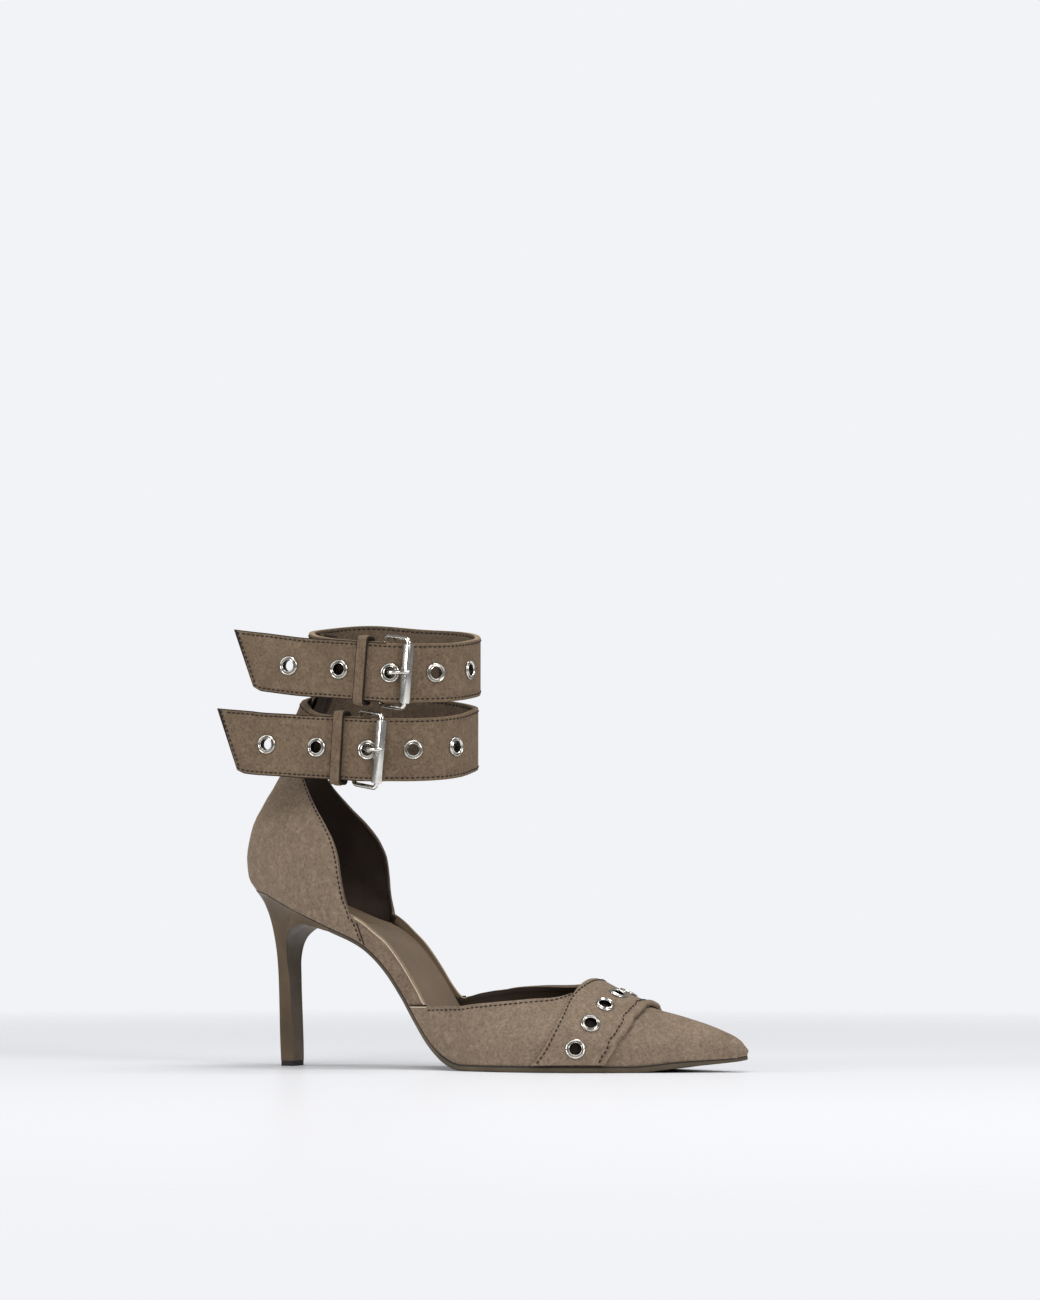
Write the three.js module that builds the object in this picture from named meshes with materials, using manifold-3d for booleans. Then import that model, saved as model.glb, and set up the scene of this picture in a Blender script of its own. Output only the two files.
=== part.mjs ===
// Right shoe of a pair of pointed court shoes with a high slim heel, low cut-away sides,
// a studded vamp band and two buckled ankle straps. Millimetres, +Z up, toe towards +X,
// the outer (lateral) side of the foot towards -Y. The shoe stands on the plane Z = 0.
import * as THREE from 'three';
import Module from 'manifold-3d';

const wasm = await Module();
wasm.setup();

// Named sizes of the shoe
const shoeLength = 242;
const ballWidth = 77;
const heelHeight = 81;
const toeSpring = 4.6;
const instepHeight = 37;
const counterHeight = 50;
const upperWall = 1.8;
const outsoleForepart = 2.5;
const outsoleWaist = 1.5;
const outsoleWelt = 0.6;
const insoleForepart = 3;
const insoleWaist = 6.6;
const insoleSeat = 5;
const clearance = 0.3;
const insoleGap = 0.45;
const bandGap = 0.75;
const rollerGap = 1.1;
const keeperGap = 0.45;

// Heel
const heelTipLength = 6.2;
const heelTipWidth = 12;
const heelTipBack = 17.7;
const topLiftThickness = 2.4;

// Vamp band
const bandThickness = 1.4;
const bandEyeletPitch = 13.5;
const bandEyeletsPerSide = 4;

// Ankle straps and their hardware
const strapThickness = 2.7;
const strapEdge = 0.4;
const stayHalfWidth = 8.5;
const stayCurve = 3.4;
const stayFootReach = 5.5;
const stayFootSpread = 3;
const stayBelowTop = 2;
const eyeletBore = 5.2;
const eyeletBarrel = 6.2;
const eyeletFlange = 9.2;
const eyeletFlangeHeight = 0.8;
const eyeletFlangeGap = 0.2;
const wireDiameter = 2.1;
const rollerDiameter = 4;
const buckleLength = 14.5;
const prongDiameter = 2.2;
const prongTurn = 1.4;
const prongOverhang = 2.4;
const prongDrop = 0.6;
const keeperWidth = 5.4;
const keeperThickness = 1.6;
const keeperSlack = 0.9;

const straps = {
  upper: {
    width: 26.5, centre: 71.2, halfLength: 39.7, halfWidth: 32, height: 184.8,
    roll: 0.144, pitch: -0.08, lean: 6, backLift: 0, tailLift: 2.4,
    tailTip: 11.4, tailSlant: 4.9, rollerAt: 92.4, firstEyelet: 34, eyeletPitch: 25, buckleTilt: 7,
    keeperSetback: 7.9,
  },
  lower: {
    width: 28.5, centre: 66.2, halfLength: 43.5, halfWidth: 33, height: 150.5,
    roll: 0.17, pitch: -0.06, lean: 24, backLift: 3, tailLift: 2,
    tailTip: 3.7, tailSlant: 5.1, rollerAt: 79.8, firstEyelet: 23.6, eyeletPitch: 24.8, buckleTilt: 8,
    keeperSetback: 6.4,
  },
};
const strapEyelets = 5;
const prongEyelet = 2;
const frontPitch = 20.4;

/** Rows with named columns: the names stand in one string, the values of each row in a list. */
function table(columns, rows) {
  const names = columns.split(' ');
  return rows.map((row) => Object.fromEntries(names.map((name, index) => [name, row[index]])));
}

// Sole line: the underside of the upper, seen from the side.
// along is a share of the shoe's length, lift of the heel height, spring of the toe spring.
const soleLine = table('along lift spring', [
  [0.000, 1.004, 0],
  [0.021, 1.000, 0],
  [0.057, 0.981, 0],
  [0.095, 0.931, 0],
  [0.136, 0.873, 0],
  [0.177, 0.821, 0],
  [0.215, 0.772, 0],
  [0.248, 0.729, 0],
  [0.273, 0.684, 0],
  [0.300, 0.611, 0],
  [0.326, 0.517, 0],
  [0.355, 0.388, 0],
  [0.383, 0.249, 0],
  [0.411, 0.133, 0],
  [0.432, 0.074, 0],
  [0.452, 0.033, 0],
  [0.471, 0.009, 0],
  [0.488, 0.000, 0],
  [0.806, 0.000, 0],
  [0.895, 0.000, 0.47],
  [0.970, 0.000, 0.74],
  [1.000, 0.000, 1.00],
]);

// Ribs of the upper from the toe tip to the quarter seam. foot and top are shares of the length,
// the half widths (foot and top) shares of half the ball width, the rises above the sole line
// shares of the instep height. arc is how far each rib turns inwards, in degrees.
const ribs = table('foot footOut footIn top topOut topIn riseOut riseIn arc', [
  [0.9970, 0.000, 0.000, 0.9890, 0, 0, 0.145, 0.145, 90],
  [0.9925, 0.064, 0.064, 0.9860, 0, 0, 0.178, 0.178, 90],
  [0.9790, 0.122, 0.122, 0.9750, 0, 0, 0.245, 0.245, 90],
  [0.9500, 0.216, 0.218, 0.9480, 0, 0, 0.345, 0.345, 90],
  [0.8890, 0.418, 0.426, 0.8890, 0, 0, 0.500, 0.500, 90],
  [0.8260, 0.620, 0.638, 0.8260, 0, 0, 0.655, 0.655, 90],
  [0.7770, 0.765, 0.780, 0.7770, 0, 0, 0.760, 0.760, 90],
  [0.7360, 0.864, 0.874, 0.7370, 0, 0, 0.868, 0.868, 90],
  [0.7020, 0.928, 0.934, 0.6990, 0, 0, 0.985, 0.985, 90],
  [0.6860, 0.952, 0.955, 0.6910, 0.18, 0.18, 0.940, 0.990, 78],
  [0.6650, 0.977, 0.971, 0.6780, 0.38, 0.37, 0.870, 0.985, 66],
  [0.6400, 0.995, 0.985, 0.6560, 0.57, 0.52, 0.820, 0.965, 54],
  [0.6070, 1.000, 0.987, 0.6180, 0.70, 0.64, 0.800, 0.942, 46],
  [0.5580, 0.972, 0.948, 0.5680, 0.76, 0.71, 0.772, 0.935, 40],
  [0.5120, 0.896, 0.855, 0.5370, 0.77, 0.72, 0.752, 0.926, 34],
  [0.4710, 0.805, 0.768, 0.5000, 0.75, 0.71, 0.727, 0.905, 28],
  [0.4380, 0.728, 0.690, 0.4670, 0.71, 0.675, 0.680, 0.843, 22],
  [0.4110, 0.668, 0.634, 0.4340, 0.67, 0.635, 0.555, 0.686, 16],
  [0.3880, 0.628, 0.597, 0.4110, 0.634, 0.603, 0.414, 0.510, 12],
  [0.3720, 0.608, 0.579, 0.3970, 0.613, 0.582, 0.350, 0.400, 9],
  [0.3550, 0.595, 0.566, 0.3810, 0.598, 0.569, 0.375, 0.375, 7],
  [0.3260, 0.590, 0.561, 0.3540, 0.592, 0.564, 0.362, 0.362, 6],
  [0.3000, 0.605, 0.577, 0.3240, 0.603, 0.574, 0.337, 0.337, 6],
  [0.2730, 0.639, 0.608, 0.2940, 0.639, 0.608, 0.292, 0.292, 6],
  [0.2420, 0.684, 0.665, 0.2520, 0.701, 0.681, 0.283, 0.283, 6],
]);
const lastClosedRib = 8;
const seamRib = ribs.length - 1;

// Horizontal sections of the counter. rise is a share of the counter height above the seat,
// back and front are shares of the length, half of half the ball width, fullness shapes the curve.
const counterSections = table('rise back front half fullness', [
  [-0.440, 0.0910, 0.2500, 0.690, 0.82],
  [-0.238, 0.0480, 0.2520, 0.706, 0.82],
  [-0.080, 0.0290, 0.2420, 0.738, 0.82],
  [0.000, 0.0190, 0.2390, 0.748, 0.82],
  [0.110, 0.0041, 0.2360, 0.761, 0.82],
  [0.280, 0.0000, 0.2310, 0.764, 0.82],
  [0.440, 0.0037, 0.2190, 0.727, 0.82],
  [0.610, 0.0124, 0.1960, 0.650, 0.85],
  [0.780, 0.0298, 0.1670, 0.530, 0.90],
  [0.980, 0.0545, 0.1380, 0.390, 0.95],
]);

// Ribs of the counter, fanned from the seam to the back: the angle of each rib's foot round the
// heel, its top's height as a share of the way up the front edge, and its top's angle.
const counterFan = table('footAngle climb topAngle', [
  [87, 0.00, 90],
  [82, 0.06, 90],
  [77, 0.125, 90],
  [71, 0.19, 90],
  [65, 0.255, 90],
  [58, 0.315, 90],
  [51, 0.375, 90],
  [44, 0.44, 90],
  [37, 0.51, 90],
  [30, 0.61, 90],
  [23, 0.74, 90],
  [17, 0.87, 90],
  [11, 1.00, 90],
  [5.5, 1.00, 45],
  [0, 1.00, 0],
]);

// How the heel grows from its tip to the seat, at the back, the sides and the breast (its front):
// the heights are shares of the way up, the rest shares of the way out.
const heelFlare = table('height back side breastHeight breast', [
  [0.000, 0.00, 0.00, 0.000, 0.00],
  [0.150, 0.06, 0.01, 0.150, -0.01],
  [0.320, 0.10, 0.02, 0.330, -0.03],
  [0.470, 0.14, 0.03, 0.500, -0.05],
  [0.600, 0.21, 0.06, 0.650, -0.07],
  [0.700, 0.32, 0.11, 0.780, -0.09],
  [0.780, 0.43, 0.19, 0.870, -0.08],
  [0.840, 0.53, 0.28, 0.940, -0.04],
  [0.890, 0.64, 0.40, 0.990, 0.03],
  [0.930, 0.74, 0.54, 1.030, 0.15],
  [0.965, 0.86, 0.73, 1.055, 0.40],
  [1.000, 1.00, 1.00, 1.000, 1.00],
]);

// Edges of the vamp band, as shares of the length, from the sole (0) over to the ridge (1)
const bandEdges = table('over rear front', [
  [0.00, 0.636, 0.763],
  [0.22, 0.661, 0.786],
  [0.50, 0.682, 0.803],
  [0.75, 0.693, 0.809],
  [1.00, 0.699, 0.811],
]);

// Small mathematics

/** A smooth curve through a table that never overshoots its rows. */
function follow(rows, inKey, outKey) {
  const x = rows.map((row) => row[inKey]);
  const y = rows.map((row) => row[outKey]);
  const count = x.length;
  const secant = [];
  for (let i = 0; i < count - 1; i++) secant.push((y[i + 1] - y[i]) / (x[i + 1] - x[i]));
  const slope = [secant[0]];
  for (let i = 1; i < count - 1; i++) {
    const before = secant[i - 1];
    const after = secant[i];
    if (before * after <= 0) {
      slope.push(0);
      continue;
    }
    const widthBefore = x[i] - x[i - 1];
    const widthAfter = x[i + 1] - x[i];
    const weightA = 2 * widthAfter + widthBefore;
    const weightB = widthAfter + 2 * widthBefore;
    slope.push((weightA + weightB) / (weightA / before + weightB / after));
  }
  slope.push(secant[count - 2]);
  return (at) => {
    if (at <= x[0]) return y[0] + slope[0] * (at - x[0]);
    if (at >= x[count - 1]) return y[count - 1] + slope[count - 1] * (at - x[count - 1]);
    let i = 0;
    while (at > x[i + 1]) i++;
    const width = x[i + 1] - x[i];
    const t = (at - x[i]) / width;
    const back = 1 - t;
    return y[i] * (1 + 2 * t) * back * back + slope[i] * width * t * back * back
      + y[i + 1] * t * t * (3 - 2 * t) - slope[i + 1] * width * t * t * back;
  };
}

const radians = (degrees) => (degrees * Math.PI) / 180;
const mix = (a, b, t) => a + (b - a) * t;
const clamp01 = (t) => Math.min(1, Math.max(0, t));
const smooth = (t) => clamp01(t) ** 2 * (3 - 2 * clamp01(t));
const vec = (x, y, z) => new THREE.Vector3(x, y, z);

/** Collects triangles, welds equal corners, drops empty ones and turns the faces outwards. */
class Skin {
  constructor() {
    this.points = [];
    this.faces = [];
    this.known = new Map();
  }

  corner(point) {
    const key = [point.x, point.y, point.z].map((value) => Math.round(value * 1e4)).join(' ');
    if (!this.known.has(key)) {
      this.known.set(key, this.points.length);
      this.points.push(point);
    }
    return this.known.get(key);
  }

  triangle(a, b, c) {
    const face = [this.corner(a), this.corner(b), this.corner(c)];
    if (new Set(face).size === 3) this.faces.push(face);
  }

  quad(a, b, c, d) {
    this.triangle(a, b, c);
    this.triangle(a, c, d);
  }

  /** A strip of quads between two lines of points. */
  strip(first, second) {
    for (let i = 0; i < first.length - 1; i++) this.quad(first[i], first[i + 1], second[i + 1], second[i]);
  }

  /** Strips all round between closed rings of points. */
  tube(rings) {
    for (let i = 0; i < rings.length - 1; i++) {
      this.strip([...rings[i], rings[i][0]], [...rings[i + 1], rings[i + 1][0]]);
    }
  }

  geometry() {
    let volume = 0;
    for (const [a, b, c] of this.faces) {
      volume += this.points[a].dot(this.points[b].clone().cross(this.points[c]));
    }
    const faces = volume < 0 ? this.faces.map(([a, b, c]) => [a, c, b]) : this.faces;
    const result = new THREE.BufferGeometry();
    const flat = this.points.flatMap((point) => [point.x, point.y, point.z]);
    result.setAttribute('position', new THREE.Float32BufferAttribute(flat, 3));
    result.setIndex(faces.flat());
    return result;
  }
}

/** A welded copy of a geometry as a solid for cutting. */
function toSolid(geometry) {
  const skin = new Skin();
  const plain = geometry.index ? geometry.toNonIndexed() : geometry;
  const at = plain.getAttribute('position');
  for (let i = 0; i < at.count; i += 3) {
    const corners = [0, 1, 2].map((k) => new THREE.Vector3().fromBufferAttribute(at, i + k));
    skin.triangle(...corners);
  }
  const welded = skin.geometry();
  const mesh = new wasm.Mesh({
    numProp: 3,
    vertProperties: new Float32Array(welded.getAttribute('position').array),
    triVerts: new Uint32Array(welded.index.array),
  });
  return new wasm.Manifold(mesh);
}

function fromSolid(solid) {
  const mesh = solid.getMesh();
  const result = new THREE.BufferGeometry();
  result.setAttribute('position', new THREE.Float32BufferAttribute(Array.from(mesh.vertProperties), 3));
  result.setIndex(Array.from(mesh.triVerts));
  return result;
}

function cut(geometry, tools) {
  let solid = toSolid(geometry);
  for (const tool of tools) solid = solid.subtract(toSolid(tool));
  return fromSolid(solid);
}

/** Turns a geometry made along +Z so that +Z becomes the given direction, and moves it. */
function aim(geometry, direction, place) {
  const turn = new THREE.Quaternion().setFromUnitVectors(vec(0, 0, 1), direction.clone().normalize());
  return geometry.applyQuaternion(turn).translate(place.x, place.y, place.z);
}

// Sole line

const flatLevel = outsoleForepart + clearance;
const liftAt = follow(soleLine, 'along', 'lift');
const springAt = follow(soleLine, 'along', 'spring');
const halfBall = ballWidth / 2;
const slopeStep = 0.5;
const toeSwing = 2.2;

function soleZ(x) {
  const along = x / shoeLength;
  return flatLevel + (heelHeight - flatLevel) * liftAt(along) + toeSpring * springAt(along);
}

const soleSlope = (x) => (soleZ(x + slopeStep) - soleZ(x - slopeStep)) / (2 * slopeStep);

/** The line down the middle of the last: it swings towards the inner side at the toe. */
const axisY = (x) => toeSwing * smooth((x / shoeLength - 0.6) / 0.4);

/** The point at a level above (or below) the sole line, at right angles to it. */
function atLevel(point, level) {
  const slope = soleSlope(point.x);
  const size = Math.hypot(1, slope);
  return vec(point.x - (slope / size) * level, point.y, soleZ(point.x) + level / size);
}

// Straps, as plan curves

const squareness = 0.8;
const lateralGap = strapThickness + clearance;

function loopOf(strap) {
  const a = strap.halfLength - strapThickness / 2;
  const b = strap.halfWidth - strapThickness / 2;
  const ellipse = (degrees) => {
    const c = Math.cos(radians(degrees));
    const s = Math.sin(radians(degrees));
    return {
      x: strap.centre + a * Math.sign(c) * Math.abs(c) ** squareness,
      y: b * Math.sign(s) * Math.abs(s) ** squareness,
    };
  };
  const nearY = (x) => {
    const c = Math.min(1, Math.abs(x - strap.centre) / a) ** (1 / squareness);
    return -b * Math.sqrt(1 - c * c) ** squareness;
  };
  return { a, b, ellipse, nearY };
}

/** Height of a strap's middle line above the floor. */
function strapZ(strap, x, y) {
  const loop = loopOf(strap);
  const reach = (strap.centre - x) / loop.a;
  const inTail = y < -loop.b - clearance;
  const atBack = inTail ? 0 : smooth((reach - 0.5) / 0.5);
  const atTail = inTail ? clamp01((reach - 0.8) / 0.8) ** 2 : 0;
  return strap.height + strap.roll * y + strap.pitch * (x - strap.centre)
    + strap.backLift * atBack + strap.tailLift * atTail;
}

/** The inside of a strap at the very back of its loop, at a height above its middle line. */
function strapBack(strap, above) {
  const x = strap.centre - strap.halfLength + strapThickness;
  return { x: x + Math.tan(radians(strap.lean)) * above, z: strapZ(strap, x, 0) + above };
}

// Upper

const stayClearance = 2 * clearance;
const stayRows = [];
for (const strap of [straps.lower, straps.upper]) {
  for (const share of [-0.5, 0, 0.5]) {
    const face = strapBack(strap, share * strap.width);
    const back = face.x + stayClearance;
    stayRows.push({ z: face.z, back, front: back + stayCurve, half: stayHalfWidth, fullness: 1 });
  }
}
stayRows[0].front += stayFootReach;
stayRows[0].half += stayFootSpread;
const stayTop = stayRows[stayRows.length - 1].z - stayBelowTop;
const sections = counterSections.map((row) => ({
  z: heelHeight + counterHeight * row.rise,
  back: shoeLength * row.back,
  front: shoeLength * row.front,
  half: halfBall * row.half,
  fullness: row.fullness,
})).concat(stayRows);
const sectionAt = Object.fromEntries(
  ['back', 'front', 'half', 'fullness'].map((key) => [key, follow(sections, 'z', key)]),
);

/** A point on the counter: the angle goes round from the back (0) to the front edge (90). */
function counterPoint(degrees, z, side) {
  const back = sectionAt.back(z);
  const reach = 1 - Math.cos(radians(degrees));
  const spread = Math.sin(radians(degrees)) ** sectionAt.fullness(z);
  return vec(back + (sectionAt.front(z) - back) * reach, side * sectionAt.half(z) * spread, z);
}

const ribRows = ribs.map((row, index) => ({ ...row, index }));
const ribAt = Object.fromEntries(
  Object.keys(ribs[0]).map((key) => [key, follow(ribRows, 'index', key)]),
);
const fanRows = counterFan.map((row, index) => ({ ...row, index }));
const fanAt = Object.fromEntries(
  Object.keys(counterFan[0]).map((key) => [key, follow(fanRows, 'index', key)]),
);
const ribBulge = 1.0;
const counterCrowding = 1.35;
const seamTop = soleZ(ribs[seamRib].top * shoeLength) + ribs[seamRib].riseOut * instepHeight;

/** A point on the outside of the upper. u counts ribs from the toe tip, v climbs from 0 to 1. */
function upperPoint(u, v, side) {
  return u <= seamRib ? vampPoint(u, v, side) : quarterPoint(u - seamRib, v, side);
}

function vampPoint(u, v, side) {
  const out = side < 0;
  const footX = ribAt.foot(u) * shoeLength;
  const topX = ribAt.top(u) * shoeLength;
  const closed = u <= lastClosedRib;
  const footReach = ribAt[out ? 'footOut' : 'footIn'](u);
  const foot = vec(footX, axisY(footX) + side * halfBall * footReach, soleZ(footX));
  const reach = closed ? 0 : ribAt[out ? 'topOut' : 'topIn'](u);
  const ridgeRise = (ribAt.riseOut(u) + ribAt.riseIn(u)) / 2;
  const rise = closed ? ridgeRise : ribAt[out ? 'riseOut' : 'riseIn'](u);
  const top = vec(topX, axisY(topX) + side * halfBall * reach, soleZ(topX) + rise * instepHeight);
  const arc = radians(closed ? 90 : ribAt.arc(u));
  const inward = (1 - Math.cos(arc * v)) / (1 - Math.cos(arc));
  const upward = Math.sin(arc * v) / Math.sin(arc);
  const point = vec(mix(foot.x, top.x, mix(inward, upward, 0.5)), mix(foot.y, top.y, inward), 0);
  point.z = mix(foot.z, top.z, upward);
  const swell = ribBulge * Math.sin(Math.PI * Math.min(1, 1.6 * v)) * clamp01(v * 4);
  const tip = 1 - clamp01(u / 2);
  const bulge = v > 0.625 ? 0 : swell;
  point.x += bulge * tip;
  point.y += side * bulge * (1 - tip) * smooth((top.z - foot.z) / 20);
  return point;
}

function quarterFoot(degrees, side) {
  let z = heelHeight;
  for (let i = 0; i < 12; i++) z = soleZ(counterPoint(degrees, z, side).x);
  return counterPoint(degrees, z, side);
}

function quarterPoint(u, v, side) {
  const footAngle = fanAt.footAngle(u);
  const foot = quarterFoot(footAngle, side);
  const topZ = mix(seamTop, stayTop, fanAt.climb(u));
  const angle = mix(footAngle, fanAt.topAngle(u), v);
  const climb = v ** mix(1, counterCrowding, clamp01(fanAt.climb(u)));
  const point = counterPoint(angle, mix(foot.z, topZ, climb), side);
  return point.lerp(vampPoint(seamRib, v, side), 1 - smooth(u));
}

// Rows of the wall's mesh: one lies at the step between the two straps
const climbShares = [0, 0.12, 0.24, 0.37, 0.5, 0.62, 0.73, 0.825, 0.91, 1];
const climbRows = climbShares.length - 1;

const wallRise = 8;
const ribSteps = [];
for (let u = 0; u < seamRib; u++) {
  ribSteps.push(u);
  if (u === lastClosedRib) ribSteps.push(u + 0.25);
  if ((u > 1 && u < 10) || (u > 10 && u < 17)) ribSteps.push(u + 0.5);
}
for (let u = seamRib; u < seamRib + counterFan.length; u++) ribSteps.push(u);
const backStep = ribSteps.length - 1;

/** One rib of points, with its inside line and the direction that points out at its foot. */
function makeRib(u, side) {
  const outside = [];
  const inside = [];
  const step = 0.05;
  const before = Math.max(0, u - step);
  const after = Math.min(seamRib + counterFan.length - 1, u + step);
  const atTip = u === 0;
  const atBack = u >= seamRib + counterFan.length - 1;
  let outward = null;
  for (let i = 0; i <= climbRows; i++) {
    const v = climbShares[i];
    const point = upperPoint(u, v, side);
    const along = atTip || atBack
      ? upperPoint(atTip ? step : before, v, side).sub(upperPoint(atTip ? step : before, v, -side))
      : upperPoint(after, v, side).sub(upperPoint(before, v, side));
    const above = upperPoint(u, Math.min(1, v + 0.02), side);
    const up = above.sub(upperPoint(u, Math.max(0, v - 0.02), side));
    const normal = along.cross(up).normalize();
    const closed = u <= lastClosedRib;
    const endwise = u < 3 || atBack ? point.x - shoeLength / 2 : 0;
    const away = vec(endwise, point.y - axisY(point.x), closed ? wallRise : 0);
    if (normal.dot(away) < 0) normal.negate();
    const ridge = closed && i === climbRows;
    if (ridge || atTip || atBack) normal.y = 0;
    if (ridge && u > 0) {
      const ahead = upperPoint(Math.max(0, u - 0.3), 1, side);
      const behind = upperPoint(Math.min(lastClosedRib, u + 0.3), 1, side);
      normal.set(behind.z - ahead.z, 0, ahead.x - behind.x);
    }
    if (i === 0) {
      normal.z = 0;
      normal.normalize();
      outward = normal.clone();
    }
    normal.normalize();
    const inner = point.clone().addScaledVector(normal, -upperWall);
    if (i === 0) inner.z = soleZ(inner.x);
    outside.push(point);
    inside.push(inner);
  }
  return { u, side, outside, inside, outward };
}

const outerRibs = ribSteps.map((u) => makeRib(u, -1));
const innerRibs = ribSteps.map((u) => makeRib(u, 1));
const ring = outerRibs.concat(innerRibs.slice(0, backStep).reverse());

function makeUpper() {
  const skin = new Skin();
  for (let i = 0; i < ring.length - 1; i++) {
    const here = ring[i];
    const next = ring[i + 1];
    skin.strip(here.outside, next.outside);
    skin.strip(next.inside, here.inside);
    skin.quad(here.inside[0], here.outside[0], next.outside[0], next.inside[0]);
    const open = Math.max(here.u, next.u) > lastClosedRib;
    if (!open) continue;
    const top = climbRows;
    skin.quad(here.outside[top], here.inside[top], next.inside[top], next.outside[top]);
  }
  return skin.geometry();
}

// Insole, outsole and heel all take their edges from the feet of the ribs

const thicknessRows = [
  { along: 0.00, insole: insoleSeat, outsole: outsoleWaist },
  { along: 0.20, insole: insoleSeat, outsole: outsoleWaist },
  { along: 0.30, insole: insoleWaist, outsole: outsoleWaist },
  { along: 0.38, insole: insoleWaist, outsole: outsoleWaist },
  { along: 0.48, insole: insoleForepart, outsole: outsoleForepart },
  { along: 1.00, insole: insoleForepart, outsole: outsoleForepart },
];
const insoleAt = follow(thicknessRows, 'along', 'insole');
const outsoleAt = follow(thicknessRows, 'along', 'outsole');

/** The point of a rib's inside line that lies at a level above the sole line. */
function insideAtLevel(rib, level) {
  const heightOf = (point) => (point.z - soleZ(point.x)) / Math.hypot(1, soleSlope(point.x));
  for (let i = 0; i < climbRows; i++) {
    const low = heightOf(rib.inside[i]);
    const high = heightOf(rib.inside[i + 1]);
    if (high >= level) return rib.inside[i].clone().lerp(rib.inside[i + 1], (level - low) / (high - low));
  }
  return rib.inside[climbRows].clone();
}

/** A plate whose edge runs through levels of points, one list for each rib and side. */
function plate(outerEdges, innerEdges) {
  const skin = new Skin();
  const last = outerEdges[0].length - 1;
  for (let i = 0; i < outerEdges.length - 1; i++) {
    skin.strip(outerEdges[i], outerEdges[i + 1]);
    skin.strip(innerEdges[i + 1], innerEdges[i]);
    skin.quad(outerEdges[i][last], innerEdges[i][last], innerEdges[i + 1][last], outerEdges[i + 1][last]);
    skin.quad(innerEdges[i][0], outerEdges[i][0], outerEdges[i + 1][0], innerEdges[i + 1][0]);
  }
  for (const [end, sign] of [[0, 1], [outerEdges.length - 1, -1]]) {
    for (let i = 0; i < last; i++) {
      const outer = outerEdges[end];
      const inner = innerEdges[end];
      const corners = [outer[i], outer[i + 1], inner[i + 1], inner[i]];
      if (sign > 0) skin.quad(corners[3], corners[2], corners[1], corners[0]);
      else skin.quad(...corners);
    }
  }
  return skin.geometry();
}

function makeInsole() {
  const edge = (rib) => {
    const level = insoleAt(rib.inside[0].x / shoeLength);
    const low = rib.inside[0].clone().addScaledVector(rib.outward, -insoleGap);
    const high = insideAtLevel(rib, level).addScaledVector(rib.outward, -insoleGap);
    low.z = soleZ(low.x);
    return [low, high];
  };
  return plate(outerRibs.map(edge), innerRibs.map(edge));
}

const seatStep = ribSteps.findIndex((u) => u >= seamRib + 2);

function makeOutsole() {
  const edge = (rib) => {
    const foot = rib.outside[0];
    const thickness = outsoleAt(foot.x / shoeLength);
    const welt = outsoleWelt * smooth((foot.x / shoeLength - 0.4) / 0.1);
    const rim = foot.clone().addScaledVector(rib.outward, welt);
    const tread = foot.clone().addScaledVector(rib.outward, welt - thickness * 0.35);
    return [
      atLevel(tread, -clearance - thickness),
      atLevel(rim, -clearance - thickness * 0.7),
      atLevel(rim, -clearance),
    ];
  };
  const outer = outerRibs.slice(0, seatStep + 1).map(edge);
  const inner = innerRibs.slice(0, seatStep + 1).map(edge);
  return plate(outer, inner);
}

const breastX = outerRibs[seatStep].outside[0].x - clearance;

/** Where a share of the way round the heel's seat lands on its tip: side, back, other side. */
function heelTipPoint(share) {
  const half = heelTipWidth / 2;
  const tipFront = heelTipBack + heelTipLength;
  const third = 1 / 3;
  if (share < third) return vec(mix(tipFront, heelTipBack, share / third), -half, topLiftThickness);
  if (share > 1 - third) return vec(mix(tipFront, heelTipBack, (1 - share) / third), half, topLiftThickness);
  return vec(heelTipBack, mix(-half, half, (share - third) / third), topLiftThickness);
}

function makeHeel() {
  const keys = ['height', 'back', 'side', 'breastHeight', 'breast'];
  const seatRibs = ring.slice(seatStep, ring.length - seatStep);
  const seat = seatRibs.map((rib) => atLevel(rib.outside[0], -clearance));
  for (const end of [seat[0], seat[seat.length - 1]]) end.x = breastX;
  const lipLevel = -clearance - outsoleAt(breastX / shoeLength);
  const lipSteps = 6;
  const lip = [];
  for (let i = 0; i <= lipSteps; i++) {
    const across = seatRibs[seatRibs.length - 1].outside[0].clone();
    across.lerp(seatRibs[0].outside[0], i / lipSteps);
    across.x = breastX;
    lip.push(atLevel(across, lipLevel));
  }
  const seatBack = Math.min(...seat.map((point) => point.x));
  const rings = heelFlare.map((row) => {
    const [height, back, side, breastHeight, breast] = keys.map((key) => row[key]);
    const seatPoints = seat.map((point, index) => {
      const foot = heelTipPoint(index / (seat.length - 1));
      const forward = smooth((point.x - seatBack) / (breastX - seatBack));
      return vec(
        mix(foot.x, point.x, mix(back, breast, forward)),
        mix(foot.y, point.y, side),
        mix(foot.z, point.z, mix(height, breastHeight, forward)),
      );
    });
    const lipPoints = lip.map((point, index) => {
      const tipX = heelTipBack + heelTipLength;
      const tipY = mix(heelTipWidth, -heelTipWidth, index / lipSteps) / 2;
      return vec(
        mix(tipX, point.x, breast),
        mix(tipY, point.y, side),
        mix(topLiftThickness, point.z, breastHeight),
      );
    });
    return [...seatPoints, ...lipPoints];
  });
  const skin = new Skin();
  skin.tube(rings);
  const base = rings[0];
  for (let i = 1; i < base.length - 1; i++) skin.triangle(base[0], base[i + 1], base[i]);
  const rim = rings[rings.length - 1];
  const crown = rim.slice(0, seat.length);
  for (let i = 0; i < (crown.length - 1) / 2; i++) {
    skin.quad(crown[i], crown[i + 1], crown[crown.length - 2 - i], crown[crown.length - 1 - i]);
  }
  const face = [crown[crown.length - 1], ...rim.slice(seat.length)];
  for (let i = 0; i < face.length - 1; i++) skin.triangle(crown[0], face[i], face[i + 1]);
  return skin.geometry();
}

// Vamp band

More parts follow.
